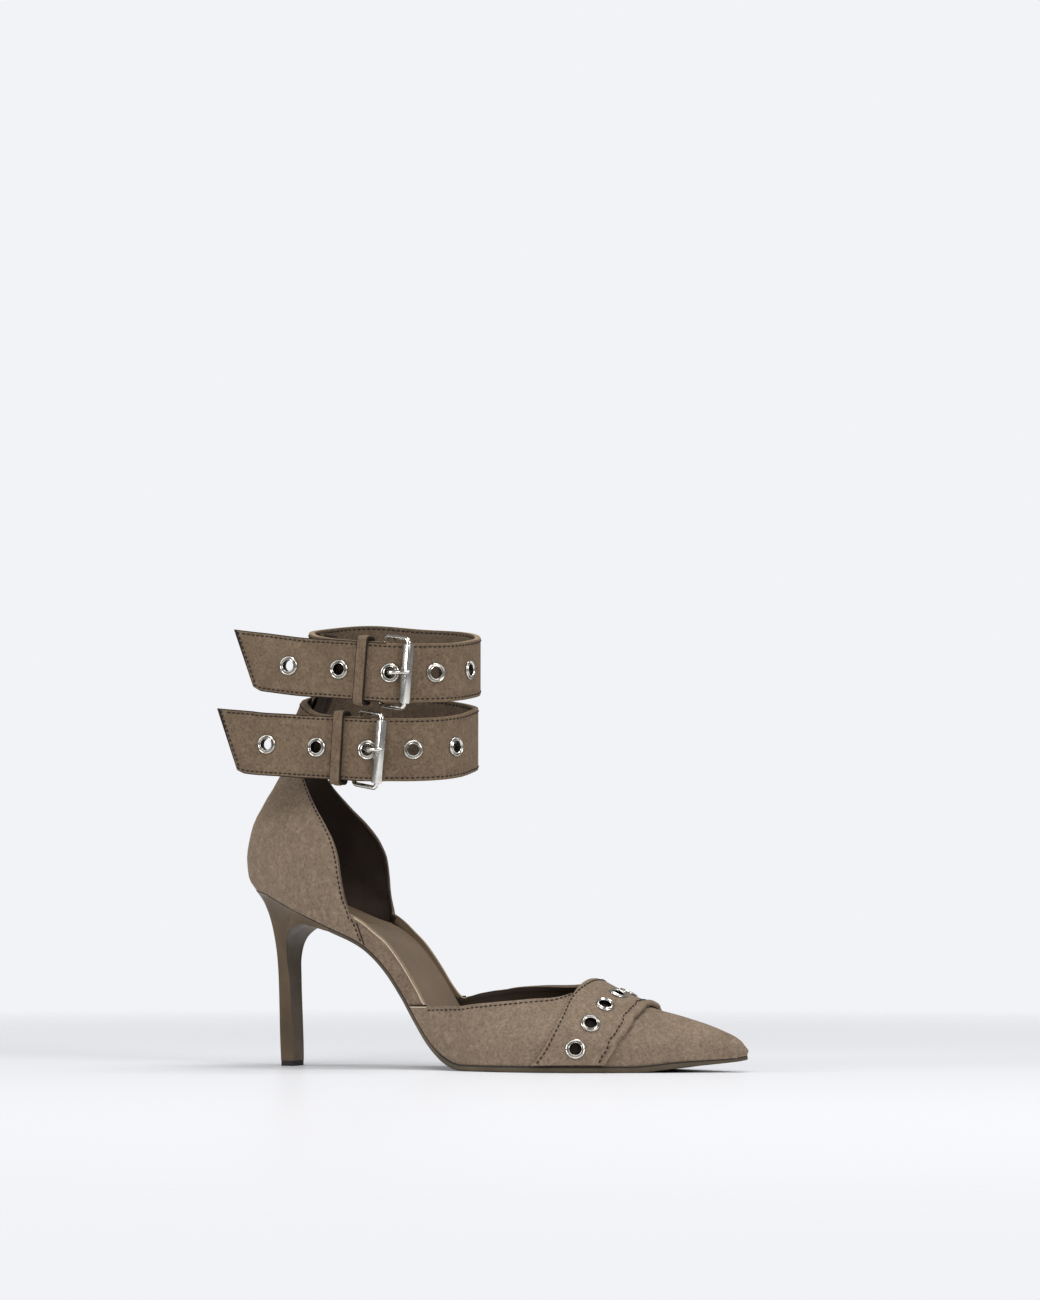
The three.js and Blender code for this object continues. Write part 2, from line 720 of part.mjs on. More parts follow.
const bandRear = follow(bandEdges, 'over', 'rear');
const bandFront = follow(bandEdges, 'over', 'front');
const bandHem = 0.015;
const bandRows = 11;
const bandShares = [0, 0.07, 0.26, 0.5, 0.75, 1];
const bandColumns = bandShares.length - 1;
const bandReach = 13;

/**
 * A point of the band at a level above the upper: over runs from the sole to the ridge,
 * across from the rear edge to the front one.
 */
function bandPoint(over, across, side, level) {
  const x = shoeLength * mix(bandRear(over), bandFront(over), across);
  let low = 0;
  let high = bandReach;
  for (let i = 0; i < 30; i++) {
    const half = (low + high) / 2;
    if (upperPoint(half, over, side).x > x) low = half;
    else high = half;
  }
  const step = 0.02;
  const ahead = upperPoint(low - step, over, side);
  const behind = upperPoint(low + step, over, side);
  const normal = vec(behind.z - ahead.z, 0, ahead.x - behind.x);
  if (over < 1) {
    const up = upperPoint(low, over + step, side).sub(upperPoint(low, Math.max(0, over - step), side));
    normal.copy(behind).sub(ahead).cross(up);
    if (normal.y * side < 0) normal.negate();
  }
  normal.normalize();
  return { point: upperPoint(low, over, side).addScaledVector(normal, level), normal };
}

/** The eyelets' places on the band, spaced evenly from the ridge down each side. */
function bandEyelets() {
  const spots = [];
  const level = bandGap + bandThickness / 2;
  for (const side of [-1, 1]) {
    let travelled = 0;
    let before = bandPoint(1, 0.5, side, level);
    for (let over = 0.995; over > bandHem; over -= 0.005) {
      const here = bandPoint(over, 0.5, side, level);
      travelled += here.point.distanceTo(before.point);
      const placed = spots.filter((spot) => spot.side === side).length;
      const due = (placed + 0.5) * bandEyeletPitch;
      if (placed < bandEyeletsPerSide && travelled > due) spots.push({ side, ...here });
      before = here;
    }
  }
  return spots;
}

function makeVampBand(spots) {
  const overs = [];
  for (let i = 0; i <= bandRows; i++) overs.push(mix(bandHem, 1, i / bandRows));
  const rows = overs.map((over) => ({ over, side: -1 }));
  for (let i = bandRows - 1; i >= 0; i--) rows.push({ over: overs[i], side: 1 });
  const line = (row, level) => {
    return bandShares.map((across) => bandPoint(row.over, across, row.side, level).point);
  };
  const outside = rows.map((row) => line(row, bandGap + bandThickness));
  const inside = rows.map((row) => line(row, bandGap));
  const skin = new Skin();
  const last = rows.length - 1;
  for (let i = 0; i < last; i++) {
    skin.strip(outside[i], outside[i + 1]);
    skin.strip(inside[i + 1], inside[i]);
    skin.quad(inside[i][0], outside[i][0], outside[i + 1][0], inside[i + 1][0]);
    const end = bandColumns;
    skin.quad(outside[i][end], inside[i][end], inside[i + 1][end], outside[i + 1][end]);
  }
  skin.strip(inside[0], outside[0]);
  skin.strip(outside[last], inside[last]);
  return cut(skin.geometry(), spots.map((spot) => eyeletHole(spot.point, spot.normal)));
}

// Eyelets

const roundSides = 8;
const rollerSides = 12;

function eyeletHole(place, direction) {
  const depth = 3 * strapThickness;
  const radius = eyeletBarrel / 2 + clearance;
  const hole = new THREE.CylinderGeometry(radius, radius, depth, roundSides);
  return aim(hole.rotateX(Math.PI / 2), direction, place);
}

/** An eyelet whose barrel fills a layer of the given thickness, its flange on the outside. */
function makeEyelet(thickness, place, direction) {
  const inner = eyeletBore / 2;
  const barrel = eyeletBarrel / 2;
  const flange = eyeletFlange / 2;
  const face = thickness / 2 + eyeletFlangeGap;
  const profile = [
    [inner, -thickness / 2],
    [barrel, -thickness / 2],
    [barrel, face],
    [flange, face],
    [mix(flange, inner, 0.3), face + eyeletFlangeHeight],
    [inner, face + eyeletFlangeHeight * 0.6],
    [inner, -thickness / 2],
  ].map(([radius, height]) => new THREE.Vector2(radius, height));
  const eyelet = new THREE.LatheGeometry(profile, roundSides).rotateX(Math.PI / 2);
  return aim(fromSolid(toSolid(eyelet)), direction, place);
}

// Straps

const foldRadius = wireDiameter / 2 + clearance + strapThickness / 2;
const foldTongue = 3;
const foldSteps = 6;
const pathStep = 6;
const leaveAhead = 6;
const settleAhead = 4.2;
const leanAhead = 14;
const leanOver = 12;
const slotAhead = 0.4;
const slotSlack = 2;

/** The bar of a strap's buckle, seen from above. */
function barOf(strap) {
  const x = strap.rollerAt - buckleLength;
  return { x, y: loopOf(strap).nearY(x) + foldRadius };
}

/** The free end's distance sideways: it leaves the loop ahead of the buckle, then runs straight back. */
function tailY(strap, x) {
  const loop = loopOf(strap);
  const leave = strap.rollerAt + leaveAhead;
  const settle = barOf(strap).x + settleAhead;
  if (x <= settle) return -loop.b - lateralGap;
  return mix(loop.nearY(x), -loop.b - lateralGap, smooth((leave - x) / (leave - settle)));
}

/** The middle line of a strap seen from above: fold, near side, back, inner side, front, free end. */
function strapCourse(strap) {
  const loop = loopOf(strap);
  const bar = barOf(strap);
  const leave = strap.rollerAt + leaveAhead;
  const angleAt = (x) => {
    const share = (x - strap.centre) / loop.a;
    return (Math.acos(Math.sign(share) * Math.abs(share) ** (1 / squareness)) * 180) / Math.PI;
  };
  const course = [];
  const first = 360 - angleAt(bar.x);
  for (let degrees = first; degrees > -angleAt(leave); degrees -= 1) course.push(loop.ellipse(degrees));
  for (let x = leave; x > strap.tailTip; x -= 1) course.push({ x, y: tailY(strap, x) });
  course.push({ x: strap.tailTip, y: tailY(strap, strap.tailTip) });
  let length = 0;
  course.forEach((point, index) => {
    const before = course[Math.max(0, index - 1)];
    length += Math.hypot(point.x - before.x, point.y - before.y);
    point.length = length;
  });
  return course;
}

/** The direction up the buckle's bar. */
function buckleUp(strap) {
  const bar = barOf(strap);
  const roller = rollerOf(strap);
  const turn = Math.atan2(roller.y - bar.y, roller.x - bar.x);
  const lean = Math.tan(radians(strap.buckleTilt));
  return vec(lean * Math.cos(turn), lean * Math.sin(turn), 1);
}

/** The point of a course at a length, with its direction outwards and its lean. */
function courseAt(strap, course, length) {
  let i = 1;
  while (i < course.length - 1 && course[i].length < length) i++;
  const before = course[i - 1];
  const after = course[i];
  const t = (length - before.length) / (after.length - before.length);
  const x = mix(before.x, after.x, t);
  const y = mix(before.y, after.y, t);
  const along = vec(after.x - before.x, after.y - before.y, 0).normalize();
  const reach = (strap.centre - x) / loopOf(strap).a;
  const inTail = length > course[course.length - 1].length / 2;
  const atBack = inTail ? 0 : smooth((reach - 0.15) / 0.85);
  const underRoller = y < 0 ? smooth((strap.rollerAt + leanAhead - x) / leanOver) : 0;
  const atBuckle = inTail ? underRoller : smooth(1 - length / (2 * buckleLength));
  const up = buckleUp(strap);
  up.x = up.x * atBuckle + Math.tan(radians(strap.lean)) * atBack;
  up.y *= clamp01(1 - length / foldTongue);
  return {
    point: vec(x, y, strapZ(strap, x, y)),
    outward: vec(-along.y, along.x, 0),
    normal: up.clone().cross(along).normalize(),
    up,
  };
}

/** A strap with chamfered edges, its end folded round the buckle's bar and its free end cut aslant. */
function makeStrap(strap, course, spots) {
  const bar = barOf(strap);
  const barZ = strapZ(strap, bar.x, bar.y - foldRadius);
  const up = buckleUp(strap);
  const stations = [{
    point: vec(bar.x - foldTongue, bar.y + foldRadius, barZ),
    outward: vec(0, 1, 0),
    up,
  }];
  for (let i = 0; i < foldSteps; i++) {
    const angle = Math.PI * (0.5 - i / foldSteps);
    const outward = vec(Math.cos(angle), Math.sin(angle), 0);
    stations.push({ point: vec(bar.x, bar.y, barZ).addScaledVector(outward, foldRadius), outward, up });
  }
  const total = course[course.length - 1].length;
  const steps = Math.round(total / pathStep);
  for (let i = 0; i <= steps; i++) stations.push(courseAt(strap, course, (total * i) / steps));
  stations[stations.length - 1].up = vec(-strap.tailSlant / (strap.width / 2), 0, 1);
  const t = strapThickness / 2;
  const w = strap.width / 2;
  const c = strapEdge;
  const outline = [
    [-t, c - w], [c - t, -w], [t - c, -w], [t, c - w],
    [t, w - c], [t - c, w], [c - t, w], [-t, w - c],
  ];
  const rings = stations.map((station) => outline.map(([out, height]) => (
    station.point.clone().addScaledVector(station.outward, out).addScaledVector(station.up, height)
  )));
  const skin = new Skin();
  skin.tube(rings);
  const start = rings[0];
  const tip = rings[rings.length - 1];
  for (let i = 1; i < outline.length - 1; i++) {
    skin.triangle(start[0], start[i + 1], start[i]);
    skin.triangle(tip[0], tip[i], tip[i + 1]);
  }
  const slotReach = 2 * foldRadius + strapThickness + slotSlack;
  const slot = new THREE.BoxGeometry(slotReach, slotReach, prongDiameter + 4 * clearance);
  slot.translate(bar.x + slotAhead, bar.y, barZ);
  return cut(skin.geometry(), [slot, ...spots.map((spot) => eyeletHole(spot.point, spot.normal))]);
}

/** The eyelets' places, counted from the free end. They stand closer together in front of the prong. */
function strapSpots(strap, course) {
  const total = course[course.length - 1].length;
  const first = total - (strap.firstEyelet - strap.tailTip);
  const spots = [];
  for (let i = 0; i < strapEyelets; i++) {
    const steps = Math.min(i, prongEyelet) * strap.eyeletPitch;
    const frontSteps = Math.max(0, i - prongEyelet) * frontPitch;
    spots.push(courseAt(strap, course, first - steps - frontSteps));
  }
  return spots;
}

// Buckles

const frameSlack = 1.3;
const innerHalf = (strap) => strap.width / 2 + frameSlack;
const buckleLift = 0.4;
const rollerEnd = 1.2;

/** The roller's middle: outside the strap where the free end passes under it. */
function rollerOf(strap) {
  const x = strap.rollerAt;
  const slope = (tailY(strap, x + slopeStep) - tailY(strap, x - slopeStep)) / (2 * slopeStep);
  const away = (strapThickness / 2 + rollerGap + rollerDiameter / 2) * Math.hypot(1, slope);
  return { x, y: tailY(strap, x) - away };
}

/** A group for a buckle: its origin on the bar, X towards the roller, Z up the bar. */
function buckleGroup(strap) {
  const bar = barOf(strap);
  const roller = rollerOf(strap);
  const group = new THREE.Group();
  group.position.set(bar.x, bar.y, strapZ(strap, bar.x, bar.y - foldRadius) + buckleLift);
  group.rotation.set(0, radians(strap.buckleTilt), Math.atan2(roller.y - bar.y, roller.x - bar.x), 'ZYX');
  return group;
}

const buckleReach = (strap) => Math.hypot(buckleLength, rollerOf(strap).y - barOf(strap).y);

function roundedRectangle(target, left, right, low, high, radius) {
  target.moveTo(left + radius, low);
  target.lineTo(right - radius, low);
  target.absarc(right - radius, low + radius, radius, -Math.PI / 2, 0, false);
  target.lineTo(right, high - radius);
  target.absarc(right - radius, high - radius, radius, 0, Math.PI / 2, false);
  target.lineTo(left + radius, high);
  target.absarc(left + radius, high - radius, radius, Math.PI / 2, Math.PI, false);
  target.lineTo(left, low + radius);
  target.absarc(left + radius, low + radius, radius, Math.PI, Math.PI * 1.5, false);
  return target;
}

/** A rectangular ring of the given depth, standing on its edge in X and Z. */
function makeRing(left, right, half, wall, depth, radius, bevel) {
  const shape = new THREE.Shape();
  roundedRectangle(shape, left - wall, right + wall, -half - wall, half + wall, radius + wall);
  shape.holes.push(roundedRectangle(new THREE.Path(), left, right, -half, half, radius));
  const ringShape = new THREE.ExtrudeGeometry(shape, {
    depth: depth - 2 * bevel,
    bevelEnabled: bevel > 0,
    bevelThickness: bevel,
    bevelSize: bevel,
    bevelOffset: -bevel,
    bevelSegments: 1,
    curveSegments: 2,
  });
  ringShape.translate(0, 0, bevel - depth / 2).rotateX(Math.PI / 2);
  return fromSolid(toSolid(ringShape));
}

function makeBuckle(strap) {
  const reach = buckleReach(strap);
  const wire = wireDiameter;
  return makeRing(wire / 2, reach - wire / 2, innerHalf(strap), wire, wire, 0.6, 0.5);
}

function makeRoller(strap) {
  const inner = wireDiameter / 2 + clearance;
  const outer = rollerDiameter / 2;
  const half = innerHalf(strap) - rollerEnd;
  const profile = [[inner, -half], [outer, -half], [outer, half], [inner, half], [inner, -half]];
  const points = profile.map(([radius, height]) => new THREE.Vector2(radius, height));
  const sleeve = new THREE.LatheGeometry(points, rollerSides).rotateX(Math.PI / 2);
  return fromSolid(toSolid(sleeve));
}

/** The prong: an eye round the bar, a straight way out through the eyelet, and over the roller. */
function makeProng(strap, spot) {
  const bar = barOf(strap);
  const roller = rollerOf(strap);
  const radius = prongDiameter / 2;
  const eyeRadius = wireDiameter / 2 + clearance + radius;
  const level = strapZ(strap, bar.x, bar.y - foldRadius);
  const inside = spot.point.y + strapThickness / 2 + clearance + radius;
  const stack = strapThickness / 2 + eyeletFlangeGap + eyeletFlangeHeight + clearance;
  const outside = spot.point.y - stack - radius;
  const over = roller.y - rollerDiameter / 2 - clearance - radius;
  const place = (x, y) => {
    const share = clamp01((x - bar.x) / (spot.point.x - bar.x));
    return vec(x, y, mix(level, spot.point.z, share));
  };
  const line = new THREE.CatmullRomCurve3([
    place(bar.x, bar.y - eyeRadius),
    place(mix(bar.x, spot.point.x, 0.5), mix(bar.y - eyeRadius, inside, 0.7)),
    place(spot.point.x - prongTurn, inside),
    place(spot.point.x, inside - prongTurn),
    place(spot.point.x, outside + prongTurn),
    place(spot.point.x + prongTurn, outside),
    place(mix(spot.point.x, roller.x, 0.6), mix(outside, over, 0.6)),
    place(roller.x, over),
    place(roller.x + prongOverhang, over + prongDrop),
  ], false, 'centripetal');
  const section = new THREE.Shape();
  section.absarc(0, 0, radius, 0, 2 * Math.PI, false);
  const shaft = new THREE.ExtrudeGeometry(section, { steps: 18, curveSegments: 3, extrudePath: line });
  const eye = new THREE.TorusGeometry(eyeRadius, radius, 6, 10);
  eye.translate(bar.x, bar.y, level);
  return fromSolid(toSolid(shaft).add(toSolid(eye)));
}

/** A keeper loop that holds the free end against the strap behind the buckle. */
function makeKeeper(strap) {
  const x = barOf(strap).x - strap.keeperSetback;
  const inner = loopOf(strap).nearY(x) + strapThickness / 2 + keeperGap;
  const outer = tailY(strap, x) - strapThickness / 2 - keeperGap;
  const half = strap.width / 2 + keeperSlack;
  const keeper = makeRing(outer, inner, half, keeperThickness, keeperWidth, 0.8, 0.4);
  keeper.rotateZ(Math.PI / 2).rotateY(-Math.atan(strap.pitch));
  return keeper.translate(x, 0, strapZ(strap, x, (inner + outer) / 2));
}

// The assembly

const shoe = new THREE.Group();

function addPiece(parent, name, geometry, color, roughness, metalness = 0) {
  geometry.computeVertexNormals();
  const material = new THREE.MeshStandardMaterial({ color, roughness, metalness });
  const mesh = new THREE.Mesh(geometry, material);
  mesh.name = name;
  parent.add(mesh);
  return mesh;
}

addPiece(shoe, 'upper', makeUpper(), '#7b6a5c', 0.95);
addPiece(shoe, 'insole', makeInsole(), '#7d6f61', 0.6);
addPiece(shoe, 'outsole', makeOutsole(), '#57503f', 0.7);
addPiece(shoe, 'heel', makeHeel(), '#5c5246', 0.5);

const topLift = new THREE.BoxGeometry(heelTipLength, heelTipWidth, topLiftThickness);
const topLiftMesh = addPiece(shoe, 'top_lift', topLift, '#1d1a18', 0.7);
topLiftMesh.position.set(heelTipBack + heelTipLength / 2, 0, topLiftThickness / 2);

const bandSpots = bandEyelets();
addPiece(shoe, 'vamp_band', makeVampBand(bandSpots), '#7b6a5c', 0.95);
bandSpots.forEach((spot, index) => {
  const side = spot.side < 0 ? 'outer' : 'inner';
  const name = `band_eyelet_${side}_${(index % bandEyeletsPerSide) + 1}`;
  addPiece(shoe, name, makeEyelet(bandThickness, spot.point, spot.normal), '#b9b6b0', 0.25, 1);
});

for (const [name, strap] of Object.entries(straps)) {
  const course = strapCourse(strap);
  const spots = strapSpots(strap, course);
  addPiece(shoe, `strap_${name}`, makeStrap(strap, course, spots), '#7b6a5c', 0.95);
  addPiece(shoe, `keeper_${name}`, makeKeeper(strap), '#7b6a5c', 0.95);
  addPiece(shoe, `prong_${name}`, makeProng(strap, spots[prongEyelet]), '#b9b6b0', 0.25, 1);
  spots.forEach((spot, index) => {
    const eyelet = makeEyelet(strapThickness, spot.point, spot.normal);
    addPiece(shoe, `strap_eyelet_${name}_${index + 1}`, eyelet, '#b9b6b0', 0.25, 1);
  });
  const buckle = buckleGroup(strap);
  addPiece(buckle, `buckle_${name}`, makeBuckle(strap), '#b9b6b0', 0.25, 1);
  const roller = addPiece(buckle, `roller_${name}`, makeRoller(strap), '#b9b6b0', 0.25, 1);
  roller.position.x = buckleReach(strap);
  shoe.add(buckle);
}

// The origin is under the middle of the whole shoe, on the floor
const bounds = new THREE.Box3().setFromObject(shoe);
const middle = bounds.getCenter(vec(0, 0, 0));
shoe.position.set(-middle.x, -middle.y, -bounds.min.z);

export default shoe;
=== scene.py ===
"""Buckle strap heeled shoe: the dressed model of one right court shoe with two buckled ankle straps.

Lengths are in millimetres in the maker's frame (X from the back of the counter to the toe, Y to the
inner side of the foot, Z up from the floor) and become metres when a mesh is made.
"""

import logging
import math
from dataclasses import dataclass, field
from enum import Enum
from typing import Callable, Sequence

import bpy
import numpy as np
from mathutils import Matrix, Vector


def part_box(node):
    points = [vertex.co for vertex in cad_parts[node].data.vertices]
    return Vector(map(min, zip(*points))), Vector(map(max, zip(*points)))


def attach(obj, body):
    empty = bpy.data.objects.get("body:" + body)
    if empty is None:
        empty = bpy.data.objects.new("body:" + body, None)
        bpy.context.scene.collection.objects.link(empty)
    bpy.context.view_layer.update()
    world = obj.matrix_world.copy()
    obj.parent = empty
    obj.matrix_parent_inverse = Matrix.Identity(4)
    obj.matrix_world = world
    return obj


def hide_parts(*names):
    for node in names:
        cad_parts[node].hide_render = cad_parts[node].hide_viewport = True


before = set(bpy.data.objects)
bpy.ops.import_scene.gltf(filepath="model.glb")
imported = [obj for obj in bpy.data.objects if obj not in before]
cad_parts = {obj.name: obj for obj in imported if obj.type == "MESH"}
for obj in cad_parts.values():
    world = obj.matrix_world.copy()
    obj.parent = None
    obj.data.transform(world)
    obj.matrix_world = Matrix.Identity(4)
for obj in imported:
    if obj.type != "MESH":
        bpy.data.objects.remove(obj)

LOG = logging.getLogger("shoe")
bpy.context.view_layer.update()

Row = dict[str, float]
Curve = Callable[[float], float]
Colour = tuple[float, float, float, float]


# Tables and curves

def table(columns: str, *rows: Sequence[float]) -> list[Row]:
    """Rows with named columns.

    Args:
        columns: The names, with spaces between them.
        rows: The values of each row.

    Returns:
        One dict for each row.
    """
    return [dict(zip(columns.split(), row)) for row in rows]


def follow(rows: list[Row], key_in: str, key_out: str) -> Curve:
    """A smooth curve through a table that never overshoots its rows.

    Args:
        rows: The table, ordered by key_in.
        key_in: The column that the curve reads.
        key_out: The column that it gives.

    Returns:
        The curve as a function.
    """
    x = [row[key_in] for row in rows]
    y = [row[key_out] for row in rows]
    count = len(x)
    secant = [(y[i + 1] - y[i]) / (x[i + 1] - x[i]) for i in range(count - 1)]
    slope = [secant[0]]
    for i in range(1, count - 1):
        before, after = secant[i - 1], secant[i]
        if before * after <= 0:
            slope.append(0.0)
            continue
        width_before, width_after = x[i] - x[i - 1], x[i + 1] - x[i]
        weight_a, weight_b = 2 * width_after + width_before, width_after + 2 * width_before
        slope.append((weight_a + weight_b) / (weight_a / before + weight_b / after))
    slope.append(secant[-1])

    def curve(at: float) -> float:
        """The table's value at a place."""
        if at <= x[0]:
            return y[0] + slope[0] * (at - x[0])
        if at >= x[-1]:
            return y[-1] + slope[-1] * (at - x[-1])
        i = 0
        while at > x[i + 1]:
            i += 1
        width = x[i + 1] - x[i]
        t = (at - x[i]) / width
        back = 1 - t
        return (y[i] * (1 + 2 * t) * back * back + slope[i] * width * t * back * back
                + y[i + 1] * t * t * (3 - 2 * t) - slope[i + 1] * width * t * t * back)

    return curve


def curves(rows: list[Row]) -> dict[str, Curve]:
    """Every column of a table as a curve over the row's number."""
    numbered = [dict(row, index=float(i)) for i, row in enumerate(rows)]
    return {key: follow(numbered, "index", key) for key in rows[0]}


def mix(a: float, b: float, t: float) -> float:
    """The value a share t of the way from a to b."""
    return a + (b - a) * t


def clamp(t: float) -> float:
    """t kept between 0 and 1."""
    return min(1.0, max(0.0, t))


def smooth(t: float) -> float:
    """A soft step from 0 to 1."""
    t = clamp(t)
    return t * t * (3 - 2 * t)


SOLE_LINE = table(
    "along lift spring",
    (0.000, 1.004, 0),
    (0.021, 1.000, 0),
    (0.057, 0.981, 0),
    (0.095, 0.931, 0),
    (0.136, 0.873, 0),
    (0.177, 0.821, 0),
    (0.215, 0.772, 0),
    (0.248, 0.729, 0),
    (0.273, 0.684, 0),
    (0.300, 0.611, 0),
    (0.326, 0.517, 0),
    (0.355, 0.388, 0),
    (0.383, 0.249, 0),
    (0.411, 0.133, 0),
    (0.432, 0.074, 0),
    (0.452, 0.033, 0),
    (0.471, 0.009, 0),
    (0.488, 0.000, 0),
    (0.806, 0.000, 0),
    (0.895, 0.000, 0.47),
    (0.970, 0.000, 0.74),
    (1.000, 0.000, 1.00),
)

RIBS = table(
    "foot foot_out foot_in top top_out top_in rise_out rise_in arc",
    (0.9970, 0.000, 0.000, 0.9890, 0, 0, 0.145, 0.145, 90),
    (0.9925, 0.064, 0.064, 0.9860, 0, 0, 0.178, 0.178, 90),
    (0.9790, 0.122, 0.122, 0.9750, 0, 0, 0.245, 0.245, 90),
    (0.9500, 0.216, 0.218, 0.9480, 0, 0, 0.345, 0.345, 90),
    (0.8890, 0.418, 0.426, 0.8890, 0, 0, 0.500, 0.500, 90),
    (0.8260, 0.620, 0.638, 0.8260, 0, 0, 0.655, 0.655, 90),
    (0.7770, 0.765, 0.780, 0.7770, 0, 0, 0.760, 0.760, 90),
    (0.7360, 0.864, 0.874, 0.7370, 0, 0, 0.868, 0.868, 90),
    (0.7020, 0.928, 0.934, 0.6990, 0, 0, 0.985, 0.985, 90),
    (0.6860, 0.952, 0.955, 0.6910, 0.18, 0.18, 0.940, 0.990, 78),
    (0.6650, 0.977, 0.971, 0.6780, 0.38, 0.37, 0.870, 0.985, 66),
    (0.6400, 0.995, 0.985, 0.6560, 0.57, 0.52, 0.820, 0.965, 54),
    (0.6070, 1.000, 0.987, 0.6180, 0.70, 0.64, 0.800, 0.942, 46),
    (0.5580, 0.972, 0.948, 0.5680, 0.76, 0.71, 0.772, 0.935, 40),
    (0.5120, 0.896, 0.855, 0.5370, 0.77, 0.72, 0.752, 0.926, 34),
    (0.4710, 0.805, 0.768, 0.5000, 0.75, 0.71, 0.727, 0.905, 28),
    (0.4380, 0.728, 0.690, 0.4670, 0.71, 0.675, 0.680, 0.843, 22),
    (0.4110, 0.668, 0.634, 0.4340, 0.67, 0.635, 0.555, 0.686, 16),
    (0.3880, 0.628, 0.597, 0.4110, 0.634, 0.603, 0.414, 0.510, 12),
    (0.3720, 0.608, 0.579, 0.3970, 0.613, 0.582, 0.350, 0.400, 9),
    (0.3550, 0.595, 0.566, 0.3810, 0.598, 0.569, 0.375, 0.375, 7),
    (0.3260, 0.590, 0.561, 0.3540, 0.592, 0.564, 0.362, 0.362, 6),
    (0.3000, 0.605, 0.577, 0.3240, 0.603, 0.574, 0.337, 0.337, 6),
    (0.2730, 0.639, 0.608, 0.2940, 0.639, 0.608, 0.292, 0.292, 6),
    (0.2420, 0.684, 0.665, 0.2520, 0.701, 0.681, 0.283, 0.283, 6),
)

COUNTER_SECTIONS = table(
    "rise back front half fullness",
    (-0.440, 0.0910, 0.2500, 0.690, 0.82),
    (-0.238, 0.0480, 0.2520, 0.706, 0.82),
    (-0.080, 0.0290, 0.2420, 0.738, 0.82),
    (0.000, 0.0190, 0.2390, 0.748, 0.82),
    (0.110, 0.0041, 0.2360, 0.761, 0.82),
    (0.280, 0.0000, 0.2310, 0.764, 0.82),
    (0.440, 0.0037, 0.2190, 0.727, 0.82),
    (0.610, 0.0124, 0.1960, 0.650, 0.85),
    (0.780, 0.0298, 0.1670, 0.530, 0.90),
    (0.980, 0.0545, 0.1380, 0.390, 0.95),
)

COUNTER_FAN = table(
    "foot_angle climb top_angle",
    (87, 0.00, 90),
    (82, 0.06, 90),
    (77, 0.125, 90),
    (71, 0.19, 90),
    (65, 0.255, 90),
    (58, 0.315, 90),
    (51, 0.375, 90),
    (44, 0.44, 90),
    (37, 0.51, 90),
    (30, 0.61, 90),
    (23, 0.74, 90),
    (17, 0.87, 90),
    (11, 1.00, 90),
    (5.5, 1.00, 45),
    (0, 1.00, 0),
)

HEEL_FLARE = table(
    "height back side breast_height breast",
    (0.000, 0.00, 0.00, 0.000, 0.00),
    (0.150, 0.06, 0.01, 0.150, -0.01),
    (0.320, 0.10, 0.02, 0.330, -0.03),
    (0.470, 0.14, 0.03, 0.500, -0.05),
    (0.600, 0.21, 0.06, 0.650, -0.07),
    (0.700, 0.32, 0.11, 0.780, -0.09),
    (0.780, 0.43, 0.19, 0.870, -0.08),
    (0.840, 0.53, 0.28, 0.940, -0.04),
    (0.890, 0.64, 0.40, 0.990, 0.03),
    (0.930, 0.74, 0.54, 1.030, 0.15),
    (0.965, 0.86, 0.73, 1.055, 0.40),
    (1.000, 1.00, 1.00, 1.000, 1.00),
)

BAND_EDGES = table(
    "over rear front",
    (0.00, 0.636, 0.763),
    (0.22, 0.661, 0.786),
    (0.50, 0.682, 0.803),
    (0.75, 0.693, 0.809),
    (1.00, 0.699, 0.811),
)

# The upper is closed over the toe up to this rib, and open behind it.
LAST_CLOSED_RIB = 8
SEAM_RIB = len(RIBS) - 1
LAST_RIB = SEAM_RIB + len(COUNTER_FAN) - 1
# The prong stands in this eyelet, counted from 0 at the free end.
PRONG_EYELET = 2


